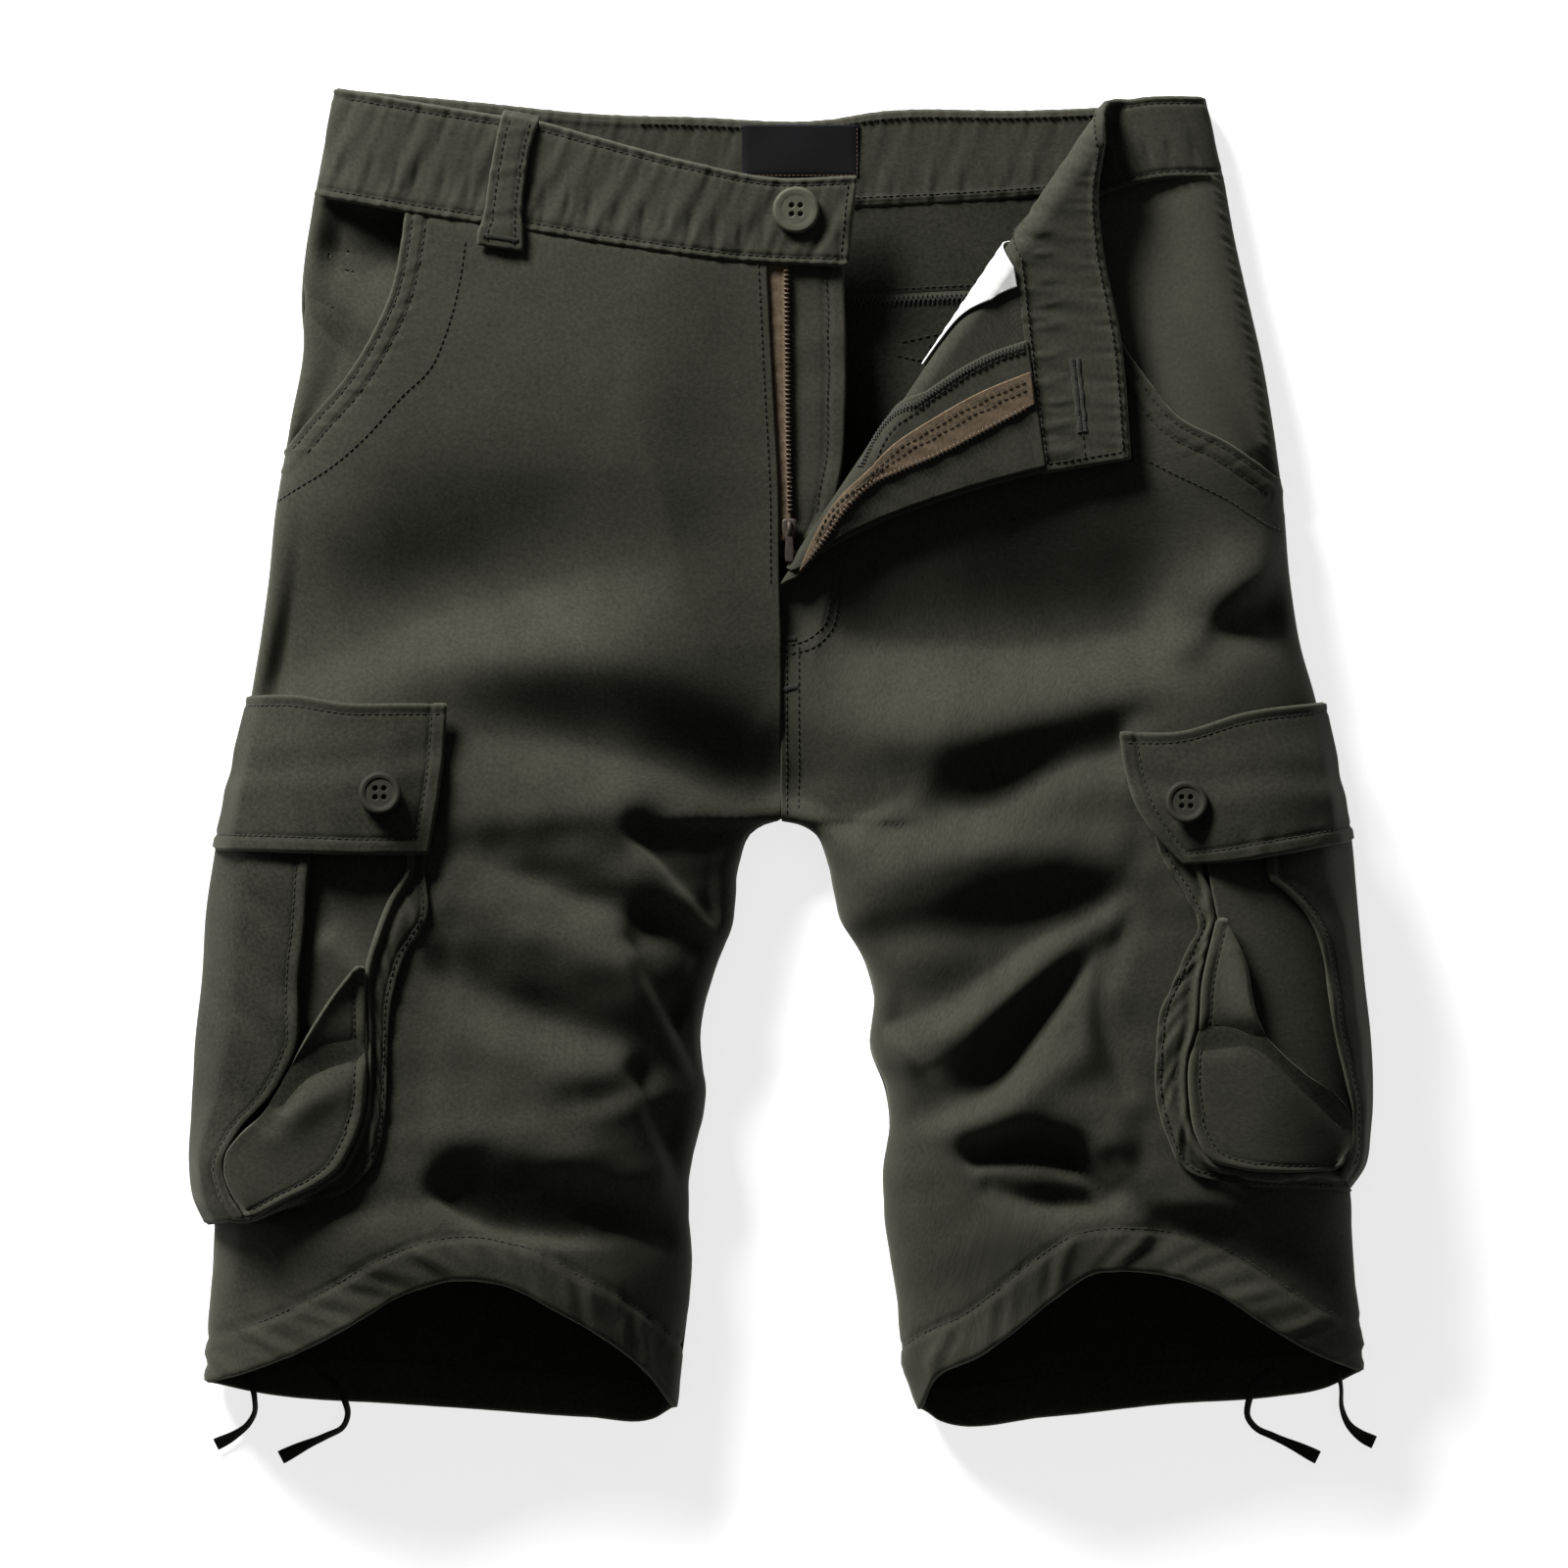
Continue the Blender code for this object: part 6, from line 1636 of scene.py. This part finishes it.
for side, toward in (("right", 1), ("left", -1)):
    rail = CARGO[side]
    rows, columns = POCKET_GRID["rear"]
    down, u = shares(rows), shares(columns, 0.3)[None, :, None]
    outer = along(below(SILHOUETTE[side], -16), down)
    outer[:, 0] += toward * REAR_TOP_TUCK * (1 - ease(down / 0.12))
    rear = along(smooth(rail["rear_front"]), down)
    grid = outer[:, None] * (1 - u) + rear[:, None] * u
    u = u[..., 0]
    to_edge = from_line(grid, grid[:, -1:])
    run = run_of(rear)[:, None]
    creases = creased(POCKET_CREASES[side], grid[..., 0], grid[..., 1])
    relief = (seam_ridge(to_edge) + 0.6 * creases
              + 0.8 * uneven(run + 0.3 * to_edge, 34, 0.8) * u**2
              + 0.6 * uneven(run + 0.7 * to_edge, 27, 3.1) * np.sin(np.pi * u))
    lift = FACE_LIFT * ease(u * 2.5) + REAR_LIP * u**2
    rear_points = add_cloth("rear", side, pocket_face(grid, side, lift), relief,
                            shade=REAR_SHADE[side])

    rows, columns = POCKET_GRID["front"]
    u = 1 - np.cos(np.linspace(0, np.pi / 2, columns))
    grid = between(rail["front_rear"], rail["front_seam"], shares(rows), u)
    relief = (seam_ridge(from_line(grid, grid[:, -1:]))
              + ridge(from_line(grid, grid[:, :1]), 0, 0.6, 2.5)
              + creased(POCKET_CREASES[side], grid[..., 0], grid[..., 1]))
    lift = FACE_LIFT + FRONT_LIP * (1 - u[None]) ** 2
    front_points = add_cloth("front", side, pocket_face(grid, side, lift), relief)

    rows, columns = POCKET_GRID["gusset"]
    u = shares(columns)[None]
    grid = between(rail["gusset_face"], rail["gusset_leg"], shares(rows), u[0])
    x, y = grid[..., 0], grid[..., 1]
    high = pocket_height(x, y, side) + SEAM_RISE + FACE_LIFT - GUSSET_TUCK
    low = front_height(x, y, side) + SEAM_RISE + CLOTH + GUSSET_LEG_LIFT
    from_leg = from_line(grid, grid[:, -1:])
    from_face = from_line(grid, grid[:, :1])
    run = GUSSET_RUN * shares(rows)[:, None]
    relief = (0.6 * uneven(run + from_leg, 11, 2.0) * bell(from_leg - 5, 5)
              + 1.2 * np.sin(np.pi * u) * uneven(run, 40, 1.0)
              + ridge(from_leg, 3, -0.5, 0.8) + ridge(from_face, 1.2, 1.3, 1.2)
              + ridge(from_face, 4.5, -1.2, 1.6))
    gusset_points = add_cloth("gusset", side, raised(x, y, high * (1 - u) + low * u), relief)

    rows, columns = POCKET_GRID["pleat"]
    grid = between(rail["pleat_rear"], rail["pleat_front"], shares(rows), shares(columns))
    add_cloth("pleat", side, pocket_face(grid, side, PLEAT_LIFT[side]),
              creased(PLEAT_CREASES, grid[..., 0], grid[..., 1]))

    rows, columns = POCKET_GRID["flap"]
    v, u = shares(rows)[:, None], shares(columns)[None]
    grid = between(rail["flap_top"], rail["flap_foot"], u[0], v[:, 0]).transpose(1, 0, 2)
    bulge = np.sin(np.pi * v) * ease((u - 0.6) / 0.4)
    grid = grid + bulge[..., None] * FLAP_END_BULGE[side]
    lift = (flap_lift(v) * (1 - FLAP_END_DROP * ease((u - 0.72) / 0.28))
            * (1 - FLAP_SIDE_DROP * (1 - ease(u / 0.1))))
    from_top, from_foot = from_line(grid, grid[:1]), from_line(grid, grid[-1:])
    from_end = from_line(grid, grid[:, -1:])
    from_edge = np.minimum(from_foot, from_end)
    run = FLAP_RUN * u
    relief = (0.5 * ease((FLAP_STITCH - from_edge) / 1.5)
              + ridge(from_edge, FLAP_STITCH, -0.6, 0.9)
              + ridge(from_top, FLAP_TOP_STITCH, -0.5, 0.9)
              + 0.45 * uneven(run + 0.5 * from_foot, 19, 0.5) * bell(from_edge - 5, 5)
              + 0.5 * uneven(run, 47, 1.5) * v
              + 0.5 * uneven(from_top + 0.15 * run, 23, 2.0) * np.sin(np.pi * v))
    flap_points = add_cloth("flap", side, pocket_face(grid, side, lift), relief, FLAP_CLOTH,
                            FLAP_SHADE)
    flap_normals = grid_normals(flap_points)
    foot = int(np.argmin(np.abs(from_foot[:, columns // 2] - FLAP_STITCH)))
    end = int(np.argmin(np.abs(from_end[rows // 2] - FLAP_STITCH)))
    top = int(np.argmin(np.abs(from_top[:, columns // 2] - FLAP_TOP_STITCH)))
    seams = [seam_row(flap_points[part], flap_normals[part])
             for part in ((foot, slice(2, end + 1)), (top, slice(2, -2)),
                          (slice(top, foot + 1), end))]
    for points, inset in ((rear_points, FACE_STITCH), (front_points, FACE_STITCH),
                          (gusset_points, GUSSET_STITCH)):
        gap = np.abs(from_line(points, points[:, -1:]) - inset)
        row = np.arange(6, len(points) - 6)
        column = np.argmin(gap, axis=1)[row]
        seams.append(seam_row(points[row, column], grid_normals(points)[row, column]))
    sew("stitching_cargo_" + side, seams)


# ---- Buttons ----------------------------------------------------------------------------
# Turned four-hole buttons of dark olive resin with a raised rim and a dished middle, sewn
# on with a little slack.
BUTTON_THICK = 3.0
BUTTON_SHANK = 0.4
BUTTON_AROUND = 96
BUTTON_CLEAR = 0.6
WAIST_RADIUS, CARGO_RADIUS = 10.5, 9.5
SLOPE_REACH = 8
WAIST_BUTTON = (6, 250)
HOLE_OFFSET = 2.0
HOLE_RADIUS = 1.1
HOLE_DEPTH = 2.2


def resin(name, colour):
    """Cloudy resin with a dull polish."""
    tint = (*(np.array(colour) / max(colour)), 1)
    material, tree, shader = new_material(name, Specular_IOR_Level=0.1, Specular_Tint=tint)
    place = add_node(tree, "ShaderNodeTexCoord").outputs["Object"]
    cloud = add_node(tree, "ShaderNodeTexNoise", {"Vector": place, "Scale": 260.0,
                                                  "Detail": 5.0}).outputs["Fac"]
    shade = math(tree, "MULTIPLY_ADD", cloud, 0.7, 0.65)
    tree.links.new(shaded(tree, colour, shade), shader.inputs["Base Color"])
    tree.links.new(math(tree, "MULTIPLY_ADD", cloud, 0.25, 0.55), shader.inputs["Roughness"])
    return material


def add_button(node, centre, radius, z, material, dish, slope=(0, 0)):
    """A profile turned about its axis: dished middle, rim, edge and flat back, with four
    pits pressed into the dish, then tilted by its cloth's slopes."""
    half = BUTTON_THICK / 2
    profile = smooth([(0, half - dish), (0.3, half - dish), (0.62, half - dish),
                      (0.74, half - 0.3 * dish), (0.86, half), (0.96, half - 0.35), (1, 0.1),
                      (0.97, -half + 0.3), (0.88, -half), (0, -half)], 8)
    inner = np.linspace(0, 0.55, 24)[:, None] * (1, 0) + (0, half - dish)
    profile = np.concatenate([inner, profile[profile[:, 0] > 0.56][:-8],
                              [(0.4, -half), (0, -half)]])
    angle = np.linspace(0, 2 * np.pi, BUTTON_AROUND, endpoint=False)
    r, h = profile[:, :1] * radius, profile[:, 1:]
    x, y = r * np.cos(angle), r * np.sin(angle)
    pit = sum(np.exp(-(((x - a) ** 2 + (y - b) ** 2) / HOLE_RADIUS**2) ** 3)
              for a in (-HOLE_OFFSET, HOLE_OFFSET) for b in (-HOLE_OFFSET, HOLE_OFFSET))
    height = h - HOLE_DEPTH * pit * (h > 0) + slope[0] * x + slope[1] * y
    points = raised(x + centre[0], y + centre[1],
                    height + z + BUTTON_CLEAR + half + BUTTON_SHANK)
    piece = add_piece(node + "_resin", points.reshape(-1, 3),
                      tube_faces(len(profile), BUTTON_AROUND), material)
    settle(piece, "button_resin", node)


def flap_height(x, y, side):
    """Height of a flap's face at its button, by the share from its top to its foot."""
    top, foot = CARGO[side]["flap_top"][-2][1], CARGO[side]["flap_foot"][-2][1]
    skin = pocket_height(np.float64(x), np.float64(y), side)
    return float(skin + SEAM_RISE + flap_lift((top - y) / (top - foot)))


waist_z = float(loft("inner", WAIST_BUTTON[1])) + BAND_PROUD + SEAM_RISE
add_button("waist_button", WAIST_BUTTON, WAIST_RADIUS, waist_z,
           resin("olive_resin", (0.052, 0.052, 0.038)), 0.3)
dark_resin = resin("dark_resin", (0.0135, 0.0132, 0.0105))
for side in ("right", "left"):
    x, y = CARGO[side]["button"]
    slope = [(flap_height(x + a, y + b, side) - flap_height(x - a, y - b, side))
             / (2 * SLOPE_REACH) for a, b in ((SLOPE_REACH, 0), (0, SLOPE_REACH))]
    add_button("cargo_button_" + side, (x, y), CARGO_RADIUS, flap_height(x, y, side),
               dark_resin, 0.9, slope)


# ---- Floor, lights and hand-over --------------------------------------------------------
# A plain white floor, one large soft light from the waist's side and a weak one round about.
FLOOR_SIZE = 8.0
FLOOR_DROP = 0.0004
KEY = {"place": (-1.5, 2.42, 1.08), "size": (1.1, 0.7), "power": 325.0}
FILL = 0.12

floor_mesh = bpy.data.meshes.new("floor")
half = FLOOR_SIZE / 2
floor_mesh.from_pydata([(a * half, b * half, -FLOOR_DROP)
                        for a, b in ((-1, -1), (1, -1), (1, 1), (-1, 1))], [], [(0, 1, 2, 3)])
floor_white = new_material("floor_white", Roughness=0.9, Base_Color=(0.6, 0.6, 0.6, 1),
                           Emission_Color=(1, 1, 1, 1), Emission_Strength=0.75)[0]
floor_mesh.materials.append(floor_white)
floor = bpy.data.objects.new("floor", floor_mesh)
bpy.context.scene.collection.objects.link(floor)

key_data = bpy.data.lights.new("key", "AREA")
key_data.shape = "RECTANGLE"
key_data.size, key_data.size_y = KEY["size"]
key_data.energy = KEY["power"]
key = bpy.data.objects.new("key", key_data)
key.location = KEY["place"]
aim = unit(np.array(KEY["place"]))
key.rotation_euler = (np.arccos(aim[2]), 0, np.arctan2(aim[0], -aim[1]))
bpy.context.scene.collection.objects.link(key)

world = bpy.data.worlds.new("room")
world.use_nodes = True
world.node_tree.nodes["Background"].inputs["Color"].default_value = (FILL, FILL, FILL, 1)
bpy.context.scene.world = world
bpy.context.scene.view_settings.view_transform = "Standard"
